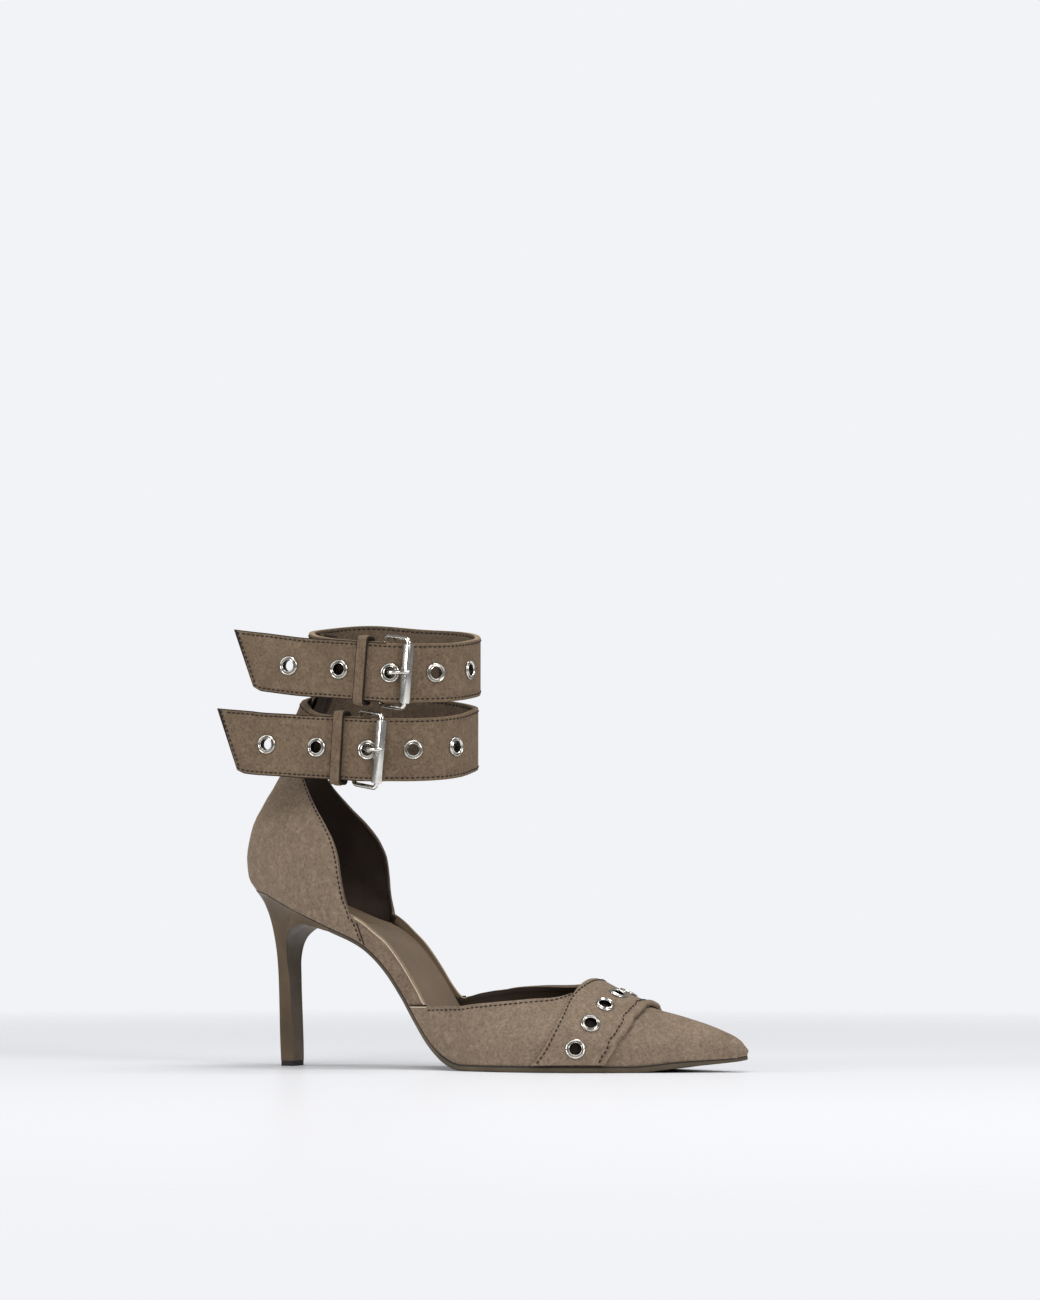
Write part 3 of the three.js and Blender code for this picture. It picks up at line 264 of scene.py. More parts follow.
@dataclass
class Strap:
    """One ankle strap: its loop seen from above, its height and its buckle."""

    name: str
    width: float
    centre: float
    half_length: float
    half_width: float
    height: float
    roll: float
    pitch: float
    lean: float
    back_lift: float
    tail_lift: float
    tail_tip: float
    tail_slant: float
    roller_at: float
    first_eyelet: float
    eyelet_pitch: float
    buckle_tilt: float
    keeper_setback: float
    front_pitch: float = 20.4
    thickness: float = 2.7
    squareness: float = 0.8
    wire: float = 2.1
    buckle_length: float = 14.5
    roller: float = 4.0
    roller_gap: float = 1.1
    gap: float = 0.3
    lead: float = 3.0
    course: list[tuple[float, float, float]] = field(default_factory=list)

    @property
    def a(self) -> float:
        """Half the loop's length, on the middle line."""
        return self.half_length - self.thickness / 2

    @property
    def b(self) -> float:
        """Half the loop's width, on the middle line."""
        return self.half_width - self.thickness / 2

    @property
    def out(self) -> float:
        """How far out the free end runs."""
        return -self.b - self.thickness - self.gap

    @property
    def fold(self) -> float:
        """Radius of the fold round the buckle's bar."""
        return self.wire / 2 + self.gap + self.thickness / 2

    @property
    def bar(self) -> tuple[float, float]:
        """The bar of the buckle, seen from above."""
        x = self.roller_at - self.buckle_length
        return x, self.near_y(x) + self.fold

    def round(self, degrees: float) -> tuple[float, float]:
        """A point of the loop seen from above."""
        c, s = math.cos(math.radians(degrees)), math.sin(math.radians(degrees))
        return (self.centre + self.a * math.copysign(abs(c) ** self.squareness, c),
                self.b * math.copysign(abs(s) ** self.squareness, s))

    def near_y(self, x: float) -> float:
        """The loop's outer side of the foot at a distance from the back."""
        c = min(1.0, abs(x - self.centre) / self.a) ** (1 / self.squareness)
        return -self.b * math.sqrt(1 - c * c) ** self.squareness

    def tail_y(self, x: float) -> float:
        """The free end's distance sideways."""
        leave, settle = self.roller_at + 6, self.bar[0] + 4.2
        if x <= settle:
            return self.out
        return mix(self.near_y(x), self.out, smooth((leave - x) / (leave - settle)))

    def z(self, x: float, y: float) -> float:
        """Height of the strap's middle line above the floor."""
        reach = (self.centre - x) / self.a
        in_tail = y < -self.b - self.gap
        at_back = 0.0 if in_tail else smooth((reach - 0.5) / 0.5)
        at_tail = clamp((reach - 0.8) / 0.8) ** 2 if in_tail else 0.0
        return (self.height + self.roll * y + self.pitch * (x - self.centre)
                + self.back_lift * at_back + self.tail_lift * at_tail)

    def back(self, above: float) -> tuple[float, float]:
        """Inside of the strap at the back of its loop: distance and height."""
        x = self.centre - self.half_length + self.thickness
        return x + math.tan(math.radians(self.lean)) * above, self.z(x, 0) + above

    @property
    def roller_spot(self) -> tuple[float, float]:
        """The roller's middle, outside the strap."""
        x = self.roller_at
        slope = self.tail_y(x + 0.5) - self.tail_y(x - 0.5)
        away = self.thickness / 2 + self.roller_gap + self.roller / 2
        return x, self.tail_y(x) - away * math.hypot(1, slope)

    @property
    def buckle_up(self) -> Vector:
        """The direction up the buckle's bar, for each millimetre of height."""
        (bar_x, bar_y), (x, y) = self.bar, self.roller_spot
        turn, lean = math.atan2(y - bar_y, x - bar_x), math.tan(math.radians(self.buckle_tilt))
        return Vector((lean * math.cos(turn), lean * math.sin(turn), 1))

    def lay_course(self) -> None:
        """Works out the middle line seen from above, with the length at each point."""
        def angle(x: float) -> float:
            """The angle round the loop at which its outer side reaches x."""
            share = (x - self.centre) / self.a
            return math.degrees(math.acos(math.copysign(abs(share) ** (1 / self.squareness), share)))

        leave = self.roller_at + 6
        spots = []
        degrees = 360 - angle(self.bar[0])
        while degrees > -angle(leave):
            spots.append(self.round(degrees))
            degrees -= 0.5
        x = leave
        while x > self.tail_tip:
            spots.append((x, self.tail_y(x)))
            x -= 0.5
        spots.append((self.tail_tip, self.tail_y(self.tail_tip)))
        length = 0.0
        self.course = []
        before = spots[0]
        for spot in spots:
            length += math.hypot(spot[0] - before[0], spot[1] - before[1])
            self.course.append((spot[0], spot[1], length))
            before = spot

    @property
    def total(self) -> float:
        """Length of the strap from the bar to the tip."""
        return self.course[-1][2]

    def at(self, length: float) -> tuple[Vector, Vector, Vector, Vector]:
        """The middle line at a length.

        Args:
            length: Millimetres from the buckle's bar.

        Returns:
            The point, the direction out of the loop, the strap's normal and its up direction.
        """
        lengths = [spot[2] for spot in self.course]
        i = min(len(lengths) - 1, max(1, int(np.searchsorted(lengths, length))))
        before, after = self.course[i - 1], self.course[i]
        t = clamp((length - before[2]) / (after[2] - before[2]))
        x, y = mix(before[0], after[0], t), mix(before[1], after[1], t)
        wide = 4
        first, last = self.course[max(0, i - wide)], self.course[min(len(lengths) - 1, i + wide - 1)]
        along = Vector((last[0] - first[0], last[1] - first[1], 0)).normalized()
        reach = (self.centre - x) / self.a
        in_tail = length > self.total / 2
        at_back = 0.0 if in_tail else smooth((reach - 0.15) / 0.85)
        under_roller = smooth((self.roller_at + 14 - x) / 12) if y < 0 else 0.0
        at_buckle = under_roller if in_tail else smooth(1 - length / (2 * self.buckle_length))
        up = self.buckle_up
        up.x = up.x * at_buckle + math.tan(math.radians(self.lean)) * at_back
        up.y *= clamp(1 - length / self.lead)
        normal = up.cross(along).normalized()
        return Vector((x, y, self.z(x, y))), Vector((-along.y, along.x, 0)), normal, up

    def eyelets(self, count: int = 5) -> list[tuple[Vector, Vector]]:
        """Middles and normals of the eyelets, counted from the free end."""
        first = self.total - (self.first_eyelet - self.tail_tip)
        lengths = [first - min(i, PRONG_EYELET) * self.eyelet_pitch
                   - max(0, i - PRONG_EYELET) * self.front_pitch for i in range(count)]
        return [(spot[0], spot[2]) for spot in map(self.at, lengths)]


UPPER_STRAP = Strap(
    name="upper", width=26.5, centre=71.2, half_length=39.7, half_width=32, height=184.8,
    roll=0.144, pitch=-0.08, lean=6, back_lift=0, tail_lift=2.4, tail_tip=11.4, tail_slant=4.9,
    roller_at=92.4, first_eyelet=34, eyelet_pitch=25, buckle_tilt=7, keeper_setback=7.9,
)
LOWER_STRAP = Strap(
    name="lower", width=28.5, centre=66.2, half_length=43.5, half_width=33, height=150.5,
    roll=0.17, pitch=-0.06, lean=24, back_lift=3, tail_lift=2, tail_tip=3.7, tail_slant=5.1,
    roller_at=79.8, first_eyelet=23.6, eyelet_pitch=24.8, buckle_tilt=8, keeper_setback=6.4,
)


@dataclass
class Last:
    """The last that the shoe is made on: the sole line and the outside of the upper."""

    length: float = 242
    ball_width: float = 77
    heel_height: float = 81
    toe_spring: float = 4.6
    instep: float = 37
    counter: float = 50
    outsole: float = 2.5
    gap: float = 0.3
    toe_swing: float = 2.2
    wall: float = 1.8
    stay_half: float = 8.5
    stay_curve: float = 3.4
    stay_foot_deeper: float = 5.5
    stay_foot_wider: float = 3

    def __post_init__(self) -> None:
        """Turns the tables into curves."""
        self.flat = self.outsole + self.gap
        self.lift_at = follow(SOLE_LINE, "along", "lift")
        self.spring_at = follow(SOLE_LINE, "along", "spring")
        self.rib = curves(RIBS)
        self.fan = curves(COUNTER_FAN)
        stay = []
        for strap in (LOWER_STRAP, UPPER_STRAP):
            for share in (-0.5, 0, 0.5):
                x, z = strap.back(share * strap.width)
                x += 2 * self.gap
                stay.append({"z": z, "back": x, "front": x + self.stay_curve,
                             "half": self.stay_half, "fullness": 1})
        stay[0]["front"] += self.stay_foot_deeper
        stay[0]["half"] += self.stay_foot_wider
        self.stay_top = stay[-1]["z"] - 2
        half_ball = self.ball_width / 2
        sections = [{
            "z": self.heel_height + self.counter * row["rise"],
            "back": self.length * row["back"],
            "front": self.length * row["front"],
            "half": half_ball * row["half"],
            "fullness": row["fullness"],
        } for row in COUNTER_SECTIONS] + stay
        self.section = {key: follow(sections, "z", key) for key in ("back", "front", "half", "fullness")}
        self.half_ball = half_ball
        seam = RIBS[SEAM_RIB]
        self.seam_top = self.sole_z(seam["top"] * self.length) + seam["rise_out"] * self.instep

    def sole_z(self, x: float) -> float:
        """Height of the sole line."""
        along = x / self.length
        climb = (self.heel_height - self.flat) * self.lift_at(along)
        return self.flat + climb + self.toe_spring * self.spring_at(along)

    def slope(self, x: float) -> float:
        """Slope of the sole line."""
        return self.sole_z(x + 0.5) - self.sole_z(x - 0.5)

    def axis_y(self, x: float) -> float:
        """The line down the middle of the last."""
        return self.toe_swing * smooth((x / self.length - 0.6) / 0.4)

    def at_level(self, point: Vector, level: float) -> Vector:
        """The point at a level above the sole line, at right angles to it."""
        slope = self.slope(point.x)
        size = math.hypot(1, slope)
        return Vector((point.x - slope / size * level, point.y, self.sole_z(point.x) + level / size))

    def counter_point(self, degrees: float, z: float, side: int) -> Vector:
        """A point on the counter, at an angle round it from the back."""
        back = self.section["back"](z)
        reach = 1 - math.cos(math.radians(degrees))
        spread = max(0.0, math.sin(math.radians(degrees))) ** self.section["fullness"](z)
        deep = self.section["front"](z) - back
        return Vector((back + deep * reach, side * self.section["half"](z) * spread, z))

    def vamp_point(self, u: float, v: float, side: int) -> Vector:
        """A point on the upper in front of the quarter seam."""
        rib, out, closed = self.rib, side < 0, u <= LAST_CLOSED_RIB
        foot_x, top_x = rib["foot"](u) * self.length, rib["top"](u) * self.length
        foot_half = rib["foot_out" if out else "foot_in"](u) * self.half_ball
        foot = Vector((foot_x, self.axis_y(foot_x) + side * foot_half, self.sole_z(foot_x)))
        reach = 0.0 if closed else rib["top_out" if out else "top_in"](u)
        rise = ((rib["rise_out"](u) + rib["rise_in"](u)) / 2 if closed
                else rib["rise_out" if out else "rise_in"](u))
        top = Vector((top_x, self.axis_y(top_x) + side * self.half_ball * reach,
                      self.sole_z(top_x) + rise * self.instep))
        arc = math.radians(90 if closed else rib["arc"](u))
        inward = (1 - math.cos(arc * v)) / (1 - math.cos(arc))
        upward = math.sin(arc * v) / math.sin(arc)
        point = Vector((mix(foot.x, top.x, mix(inward, upward, 0.5)), mix(foot.y, top.y, inward),
                        mix(foot.z, top.z, upward)))
        swell = math.sin(math.pi * min(1.0, 1.6 * v)) * clamp(v * 4) if v <= 0.625 else 0.0
        tip = 1 - clamp(u / 2)
        point.x += swell * tip
        point.y += side * swell * (1 - tip) * smooth((top.z - foot.z) / 20)
        return point

    def quarter_point(self, u: float, v: float, side: int) -> Vector:
        """A point on the upper behind the quarter seam, u counted from the seam."""
        foot_angle = self.fan["foot_angle"](u)
        z = self.heel_height
        for _ in range(8):
            z = self.sole_z(self.counter_point(foot_angle, z, side).x)
        top_z = mix(self.seam_top, self.stay_top, self.fan["climb"](u))
        angle = mix(foot_angle, self.fan["top_angle"](u), v)
        climb = v ** mix(1, 1.35, clamp(self.fan["climb"](u)))
        point = self.counter_point(angle, mix(z, top_z, climb), side)
        if u < 1:
            point = point.lerp(self.vamp_point(SEAM_RIB, v, side), 1 - smooth(u))
        return point

    def upper_point(self, u: float, v: float, side: int) -> Vector:
        """A point on the outside of the upper: u counts ribs from the toe, v climbs from 0 to 1."""
        if u <= SEAM_RIB:
            return self.vamp_point(u, v, side)
        return self.quarter_point(u - SEAM_RIB, v, side)

    def upper_normal(self, u: float, v: float, side: int) -> Vector:
        """The direction out of the upper at one of its points."""
        step = 0.04
        low, high = max(0.0, u - step), min(float(LAST_RIB), u + step)
        along = self.upper_point(high, v, side) - self.upper_point(low, v, side)
        up = self.upper_point(u, min(1, v + 0.02), side) - self.upper_point(u, max(0, v - 0.02), side)
        normal = along.cross(up).normalized()
        point = self.upper_point(u, v, side)
        far = u < 3 or u > LAST_RIB - 0.5
        away = Vector((point.x - self.length / 2 if far else 0.0, point.y - self.axis_y(point.x),
                       8.0 if u <= LAST_CLOSED_RIB else 0.0))
        return -normal if normal.dot(away) < 0 else normal

    def foot_out(self, u: float, side: int) -> Vector:
        """The direction out of the upper at its foot, seen from above."""
        if u <= 0 or u >= LAST_RIB:
            return Vector((1.0 if u <= 0 else -1.0, 0, 0))
        normal = self.upper_normal(u, 0, side)
        normal.z = 0
        return normal.normalized()


LAST = Last()
for _strap in (UPPER_STRAP, LOWER_STRAP):
    _strap.lay_course()

TOP_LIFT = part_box("top_lift")
HEEL_TIP_BACK = 17.7
SHIFT = Vector((TOP_LIFT[0].x * 1000 - HEEL_TIP_BACK, (TOP_LIFT[0].y + TOP_LIFT[1].y) * 500, 0))


def to_frame(point: Vector) -> Vector:
    """A point in metres in the model's frame."""
    return (point + SHIFT) / 1000


# Mesh making

def select_only(*pieces: bpy.types.Object) -> None:
    """Selects just these pieces and makes the first one active."""
    bpy.ops.object.select_all(action="DESELECT")
    for piece in pieces:
        piece.select_set(True)
    bpy.context.view_layer.objects.active = pieces[0]


def apply_modifiers(piece: bpy.types.Object) -> None:
    """Applies a piece's modifiers in their order."""
    select_only(piece)
    for modifier in list(piece.modifiers):
        bpy.ops.object.modifier_apply(modifier=modifier.name)


def shade(piece: bpy.types.Object, degrees: float = 50) -> None:
    """Smooth shading that keeps the edges sharper than an angle."""
    select_only(piece)
    bpy.ops.object.shade_smooth_by_angle(angle=math.radians(degrees))


def shaped_grid(name: str, columns: int, rows: int, place: Callable[[int, int], Vector],
                paint: Callable[[int, int], int] | None = None, solid: bool = True) -> bpy.types.Object:
    """A grid whose points are placed one by one, with equal points merged.

    Args:
        name: The piece's name.
        columns: Faces along the first direction.
        rows: Faces along the second direction.
        place: Gives the millimetre place of a column and row of points.
        paint: Gives the material number of a column and row of faces.
        solid: Whether the result is closed, with its open ends filled.

    Returns:
        The new object.
    """
    bpy.ops.object.select_all(action="DESELECT")
    bpy.ops.mesh.primitive_grid_add(x_subdivisions=columns, y_subdivisions=rows, size=1)
    piece = bpy.context.object
    piece.name = piece.data.name = name
    mesh = piece.data
    flat = np.empty(len(mesh.vertices) * 3)
    mesh.vertices.foreach_get("co", flat)
    flat = flat.reshape(-1, 3)
    column = np.rint((flat[:, 0] + 0.5) * columns).astype(int)
    row = np.rint((flat[:, 1] + 0.5) * rows).astype(int)
    for index, (i, j) in enumerate(zip(column, row)):
        flat[index] = to_frame(place(int(i), int(j)))
    mesh.vertices.foreach_set("co", flat.ravel())
    if paint:
        for face in mesh.polygons:
            corners = list(face.vertices)
            face.material_index = paint(int(column[corners].min()), int(row[corners].min()))
    bpy.ops.object.mode_set(mode="EDIT")
    bpy.ops.mesh.select_all(action="SELECT")
    bpy.ops.mesh.remove_doubles(threshold=0.00002)
    if solid:
        bpy.ops.mesh.fill_holes(sides=0)
    bpy.ops.mesh.select_all(action="SELECT")
    bpy.ops.mesh.normals_make_consistent(inside=False)
    bpy.ops.object.mode_set(mode="OBJECT")
    mesh.update()
    return piece


def tube(name: str, stations: list[list[Vector]], closed: bool = False,
         paint: Callable[[int, int], int] | None = None) -> bpy.types.Object:
    """A solid through rings of points.

    Args:
        name: The piece's name.
        stations: The rings, each with the same number of points.
        closed: Whether the last ring joins the first.
        paint: Gives the material number of a station and a point of the ring.

    Returns:
        The new object.
    """
    count, size = len(stations), len(stations[0])
    columns = count if closed else count - 1
    return shaped_grid(name, columns, size, lambda i, j: stations[i % count][j % size], paint)


def lathe(name: str, profile: list[tuple[float, float]], place: Vector, axis: Vector,
          segments: int = 40, paint: Callable[[int, int], int] | None = None) -> bpy.types.Object:
    """A turned ring.

    Args:
        name: The piece's name.
        profile: Radius and height of each point of a closed profile.
        place: Its middle.
        axis: Its axis, pointing up the heights.
        segments: Steps round it.
        paint: Gives the material number of a step and a point of the profile.

    Returns:
        The new object.
    """
    turn = Vector((0, 0, 1)).rotation_difference(axis)
    stations = []
    for i in range(segments):
        angle = 2 * math.pi * i / segments
        out = turn @ Vector((math.cos(angle), math.sin(angle), 0))
        stations.append([place + out * radius + axis * height for radius, height in profile])
    return tube(name, stations, closed=True, paint=paint)


def sweep(name: str, path: list[Vector], radius: float, side: Vector, closed: bool = False,
          sides: int = 14, squash: Callable[[float], tuple[float, float]] | None = None) -> bpy.types.Object:
    """A round wire along a path.

    Args:
        name: The piece's name.
        path: The middle line.
        radius: The wire's radius.
        side: A direction that no part of the path follows.
        closed: Whether the path is a loop.
        sides: Points round the wire.
        squash: Gives the radius factors, along side and across it, at a share of the path.

    Returns:
        The new object.
    """
    count = len(path)
    stations = []
    for i, point in enumerate(path):
        before = path[(i - 1) % count] if closed else path[max(0, i - 1)]
        after = path[(i + 1) % count] if closed else path[min(count - 1, i + 1)]
        along = (after - before).normalized()
        across = along.cross(side).normalized()
        high = across.cross(along).normalized()
        wide, thick = squash(i / (count - 1)) if squash else (1, 1)
        stations.append([
            point + high * (radius * wide * math.cos(2 * math.pi * k / sides))
            + across * (radius * thick * math.sin(2 * math.pi * k / sides))
            for k in range(sides)
        ])
    return tube(name, stations, closed=closed)


def corner_arcs(low: tuple[float, float], high: tuple[float, float],
                steps: int) -> list[tuple[float, float, float]]:
    """Points round the four rounded corners of a rectangle, starting at its high corner.

    Args:
        low: The middle of the arc at the low corner.
        high: The middle of the arc at the high corner.
        steps: Steps in each arc.

    Returns:
        The middle of each point's arc and its angle in radians.
    """
    found = []
    for quarter, (x, y) in enumerate((high, (low[0], high[1]), low, (high[0], low[1]))):
        found += [(x, y, math.radians(90 * quarter + 90 / steps * step)) for step in range(steps + 1)]
    return found


def box(name: str, middle: Vector, size: Sequence[float]) -> bpy.types.Object:
    """A box, with its middle and its three sizes in metres of the model's frame."""
    bpy.ops.object.select_all(action="DESELECT")
    bpy.ops.mesh.primitive_cube_add(size=1)
    piece = bpy.context.object
    piece.name = piece.data.name = name
    piece.data.transform(Matrix.Translation(middle) @ Matrix.Diagonal((*size, 1)))
    return piece


def soften(piece: bpy.types.Object, width: float, segments: int, degrees: float) -> None:
    """Rounds the edges that are sharper than an angle, by a width in millimetres."""
    soft = piece.modifiers.new("edge", "BEVEL")
    soft.limit_method = "ANGLE"
    soft.angle_limit = math.radians(degrees)
    soft.width = width / 1000
    soft.segments = segments
    apply_modifiers(piece)


def bore(piece: bpy.types.Object, spots: list[tuple[Vector, Vector]], radius: float, depth: float,
         segments: int = 32) -> None:
    """Cuts round holes through a piece.

    Args:
        piece: The solid to cut.
        spots: Middles and directions of the holes.
        radius: Their radius.
        depth: Length of the cutters.
        segments: Sides of each cutter.
    """
    cutters = []
    for place, axis in spots:
        bpy.ops.object.select_all(action="DESELECT")
        bpy.ops.mesh.primitive_cylinder_add(radius=radius / 1000, depth=depth / 1000, vertices=segments)
        cutter = bpy.context.object
        turn = Vector((0, 0, 1)).rotation_difference(axis).to_matrix().to_4x4()
        cutter.data.transform(Matrix.Translation(to_frame(place)) @ turn)
        cutters.append(cutter)
    carve(piece, cutters)


def carve(piece: bpy.types.Object, cutters: list[bpy.types.Object]) -> None:
    """Takes the cutters out of a piece and removes them."""
    select_only(*cutters)
    if len(cutters) > 1:
        bpy.ops.object.join()
    cutter = bpy.context.view_layer.objects.active
    modifier = piece.modifiers.new("cut", "BOOLEAN")
    modifier.object = cutter
    modifier.operation = "DIFFERENCE"
    modifier.solver = "EXACT"
    apply_modifiers(piece)
    bpy.data.objects.remove(cutter)


def join(name: str, pieces: list[bpy.types.Object]) -> bpy.types.Object:
    """Joins pieces into one."""
    select_only(*pieces)
    bpy.ops.object.join()
    piece = bpy.context.view_layer.objects.active
    piece.name = piece.data.name = name
    return piece


@dataclass(frozen=True)
class Stitch:
    """One visible stitch: its middle, its direction and the normal of what it lies on."""

    place: Vector
    along: Vector
    normal: Vector


@dataclass(frozen=True)
class Thread:
    """Sewing thread and the length of its stitches."""

    length: float = 1.75
    pitch: float = 2.35
    radius: float = 0.33
    sunk: float = 0.04


THREAD = Thread()


def stitches_along(line: list[tuple[Vector, Vector]], thread: Thread = THREAD) -> list[Stitch]:
    """Stitches spaced evenly along a line.

    Args:
        line: Points with the surface's normal.
        thread: The thread.

    Returns:
        The stitches.
    """
    found: list[Stitch] = []
    travelled = 0.0
    due = thread.pitch / 2
    for (start, normal), (end, _) in zip(line, line[1:]):
        step = (end - start).length
        while step > 0 and travelled + step >= due:
            place = start.lerp(end, (due - travelled) / step)
            found.append(Stitch(place, (end - start).normalized(), normal))
            due += thread.pitch
        travelled += step
    return found


def sew(name: str, stitches: list[Stitch], thread: Thread = THREAD) -> bpy.types.Object:
    """Makes all the stitches of a seam as one mesh from one modelled stitch.

    Args:
        name: The piece's name.
        stitches: Where they lie.
        thread: The thread.

    Returns:
        The new object.
    """
    bpy.ops.object.select_all(action="DESELECT")
    bpy.ops.mesh.primitive_uv_sphere_add(segments=6, ring_count=5, radius=1)
    pattern = bpy.context.object
    points = [Vector(vertex.co) for vertex in pattern.data.vertices]
    faces = [list(face.vertices) for face in pattern.data.polygons]
    bpy.data.objects.remove(pattern)
    corners, loops = [], []
    for stitch in stitches:
        across = stitch.along.cross(stitch.normal).normalized()
        high = across.cross(stitch.along).normalized()
        first = len(corners)
        for point in points:
            stretch = math.copysign(abs(point.z) ** 0.6, point.z) * thread.length / 2
            bow = (1 - point.z * point.z) * thread.radius - thread.radius - thread.sunk
            corners.append(to_frame(stitch.place + stitch.along * stretch
                                    + across * (point.x * thread.radius)
                                    + high * (point.y * thread.radius + bow + thread.radius * 0.7)))
        loops += [[first + index for index in face] for face in faces]
    mesh = bpy.data.meshes.new(name)
    mesh.from_pydata(corners, [], loops)
    piece = bpy.data.objects.new(name, mesh)
    bpy.context.scene.collection.objects.link(piece)
    shade(piece, 80)
    return piece


# Finishes

def linear(hex_colour: str) -> Colour:
    """A linear colour from an sRGB hex string."""
    def channel(start: int) -> float:
        """One channel."""
        value = int(hex_colour[start:start + 2], 16) / 255
        return value / 12.92 if value <= 0.04045 else ((value + 0.055) / 1.055) ** 2.4

    return channel(1), channel(3), channel(5), 1.0


def add_node(tree: bpy.types.NodeTree, kind: str, inputs: dict | None = None,
             output: str | int | None = None,
             **settings: str | bool) -> bpy.types.Node | bpy.types.NodeSocket:
    """Adds a shader node with its settings, values and links.

    Args:
        tree: The node tree.
        kind: The node's type, without the words ShaderNode in front.
        inputs: For an input by name or number, its value or the output socket to plug in.
        output: The output to return, by name or number.
        **settings: Properties of the node.

    Returns:
        The output socket, or the node where no output is named.
    """
    node = tree.nodes.new(f"ShaderNode{kind}")
    for key, value in settings.items():
        setattr(node, key, value)
    for key, value in (inputs or {}).items():
        if isinstance(value, bpy.types.NodeSocket):
            tree.links.new(value, node.inputs[key])
        else:
            node.inputs[key].default_value = value
    return node if output is None else node.outputs[output]


def new_material(name: str) -> tuple[bpy.types.Material, bpy.types.NodeTree, bpy.types.NodeSocket]:
    """An empty material with its tree and its object coordinates."""
    material = bpy.data.materials.new(name)
    material.use_nodes = True
    tree = material.node_tree
    tree.nodes.clear()
    return material, tree, add_node(tree, "TexCoord", output="Object")


def lay_colours(tree: bpy.types.NodeTree, base: Colour, layers: Sequence[tuple]) -> bpy.types.NodeSocket:
    """Lays colours over one another, each by the strength of its pattern.

    Args:
        tree: The node tree.
        base: The colour under them all.
        layers: For each, its pattern, the low and high end of the pattern's range, the colour's
            share at each end, and the colour.

    Returns:
        The mixed colour.
    """
    colour = base
    for pattern, low, high, start, end, top in layers:
        share = add_node(tree, "MapRange", {"Value": pattern, "From Min": low, "From Max": high,
                                            "To Min": start, "To Max": end}, "Result", clamp=True)
        colour = add_node(tree, "Mix", {0: share, 6: colour, 7: top}, 2, data_type="RGBA")
    return colour


@dataclass(frozen=True)
class Suede:
    """Brushed suede: short nap, speckled tone and soft darker and lighter patches.

    The colours are sRGB hex, the sizes millimetres.
    """

    name: str
    tone: str
    shade: str
    light: str
    nap: float = 1.15
    patch: float = 30
    depth: float = 0.13
    sheen: float = 0.3
    speckle: float = 0.7

    def make(self) -> bpy.types.Material:
        """Builds the material."""
        material, tree, where = new_material(self.name)
        sizes = ((self.patch, 3, 0.55), (self.patch / 5, 4, 0.6), (self.nap, 3, 0.75),
                 (self.nap * 2.6, 3, 0.7))
        patches, strokes, grain, fibres = [
            add_node(tree, "TexNoise", {"Vector": where, "Scale": 1000 / size, "Detail": detail,
                                        "Roughness": rough}, "Fac")
            for size, detail, rough in sizes]
        tone, shade, light = linear(self.tone), linear(self.shade), linear(self.light)
        dark = add_node(tree, "HueSaturation", {"Value": 0.5, "Color": shade}, "Color")
        colour = lay_colours(tree, shade, (
            (patches, 0.34, 0.7, 0.45, 1, tone),
            (strokes, 0.46, 0.72, 0, 0.35, light),
            (grain, 0.30, 0.58, self.speckle, 0, dark),
            (fibres, 0.52, 0.74, 0, self.speckle * 0.7, light)))
        soft = add_node(tree, "Bump", {"Height": strokes, "Strength": 1.0,
                                       "Distance": self.depth * 2.2 / 1000}, "Normal")
        nap = add_node(tree, "Bump", {"Height": grain, "Strength": 1.0, "Distance": self.depth / 1000,
                                      "Normal": soft}, "Normal")
        shader = add_node(tree, "BsdfPrincipled", {
            "Base Color": colour, "Roughness": 0.92, "Specular IOR Level": 0.18, "Sheen Weight": self.sheen,
            "Sheen Roughness": 0.45, "Sheen Tint": light, "Normal": nap}, "BSDF")
        add_node(tree, "OutputMaterial", {"Surface": shader})
        return material


@dataclass(frozen=True)
class Smooth:
    """Leather, thread, plastic or wrap with a fine grain and a soft shine."""

    name: str
    tone: str
    shade: str
    roughness: float = 0.55
    grain: float = 0.9
    depth: float = 0.03
    patch: float = 18
    shine: float = 0.3

    def make(self) -> bpy.types.Material:
        """Builds the material."""
        material, tree, where = new_material(self.name)
        patches, grain, gloss = [
            add_node(tree, "TexNoise", {"Vector": where, "Scale": 1000 / size, "Detail": 3,
                                        "Roughness": rough}, "Fac")
            for size, rough in ((self.patch, 0.5), (self.grain, 0.6), (self.patch / 3, 0.5))]
        colour = lay_colours(tree, linear(self.shade), ((patches, 0.3, 0.7, 0, 1, linear(self.tone)),))
        rough = add_node(tree, "MapRange", {
            "Value": gloss, "From Min": 0.3, "From Max": 0.7,
            "To Min": self.roughness - 0.06, "To Max": self.roughness + 0.06}, "Result", clamp=True)
        relief = add_node(tree, "Bump", {"Height": grain, "Strength": 1.0,
                                         "Distance": self.depth / 1000}, "Normal")
        shader = add_node(tree, "BsdfPrincipled", {
            "Base Color": colour, "Roughness": rough, "Specular IOR Level": self.shine,
            "Normal": relief}, "BSDF")
        add_node(tree, "OutputMaterial", {"Surface": shader})
        return material


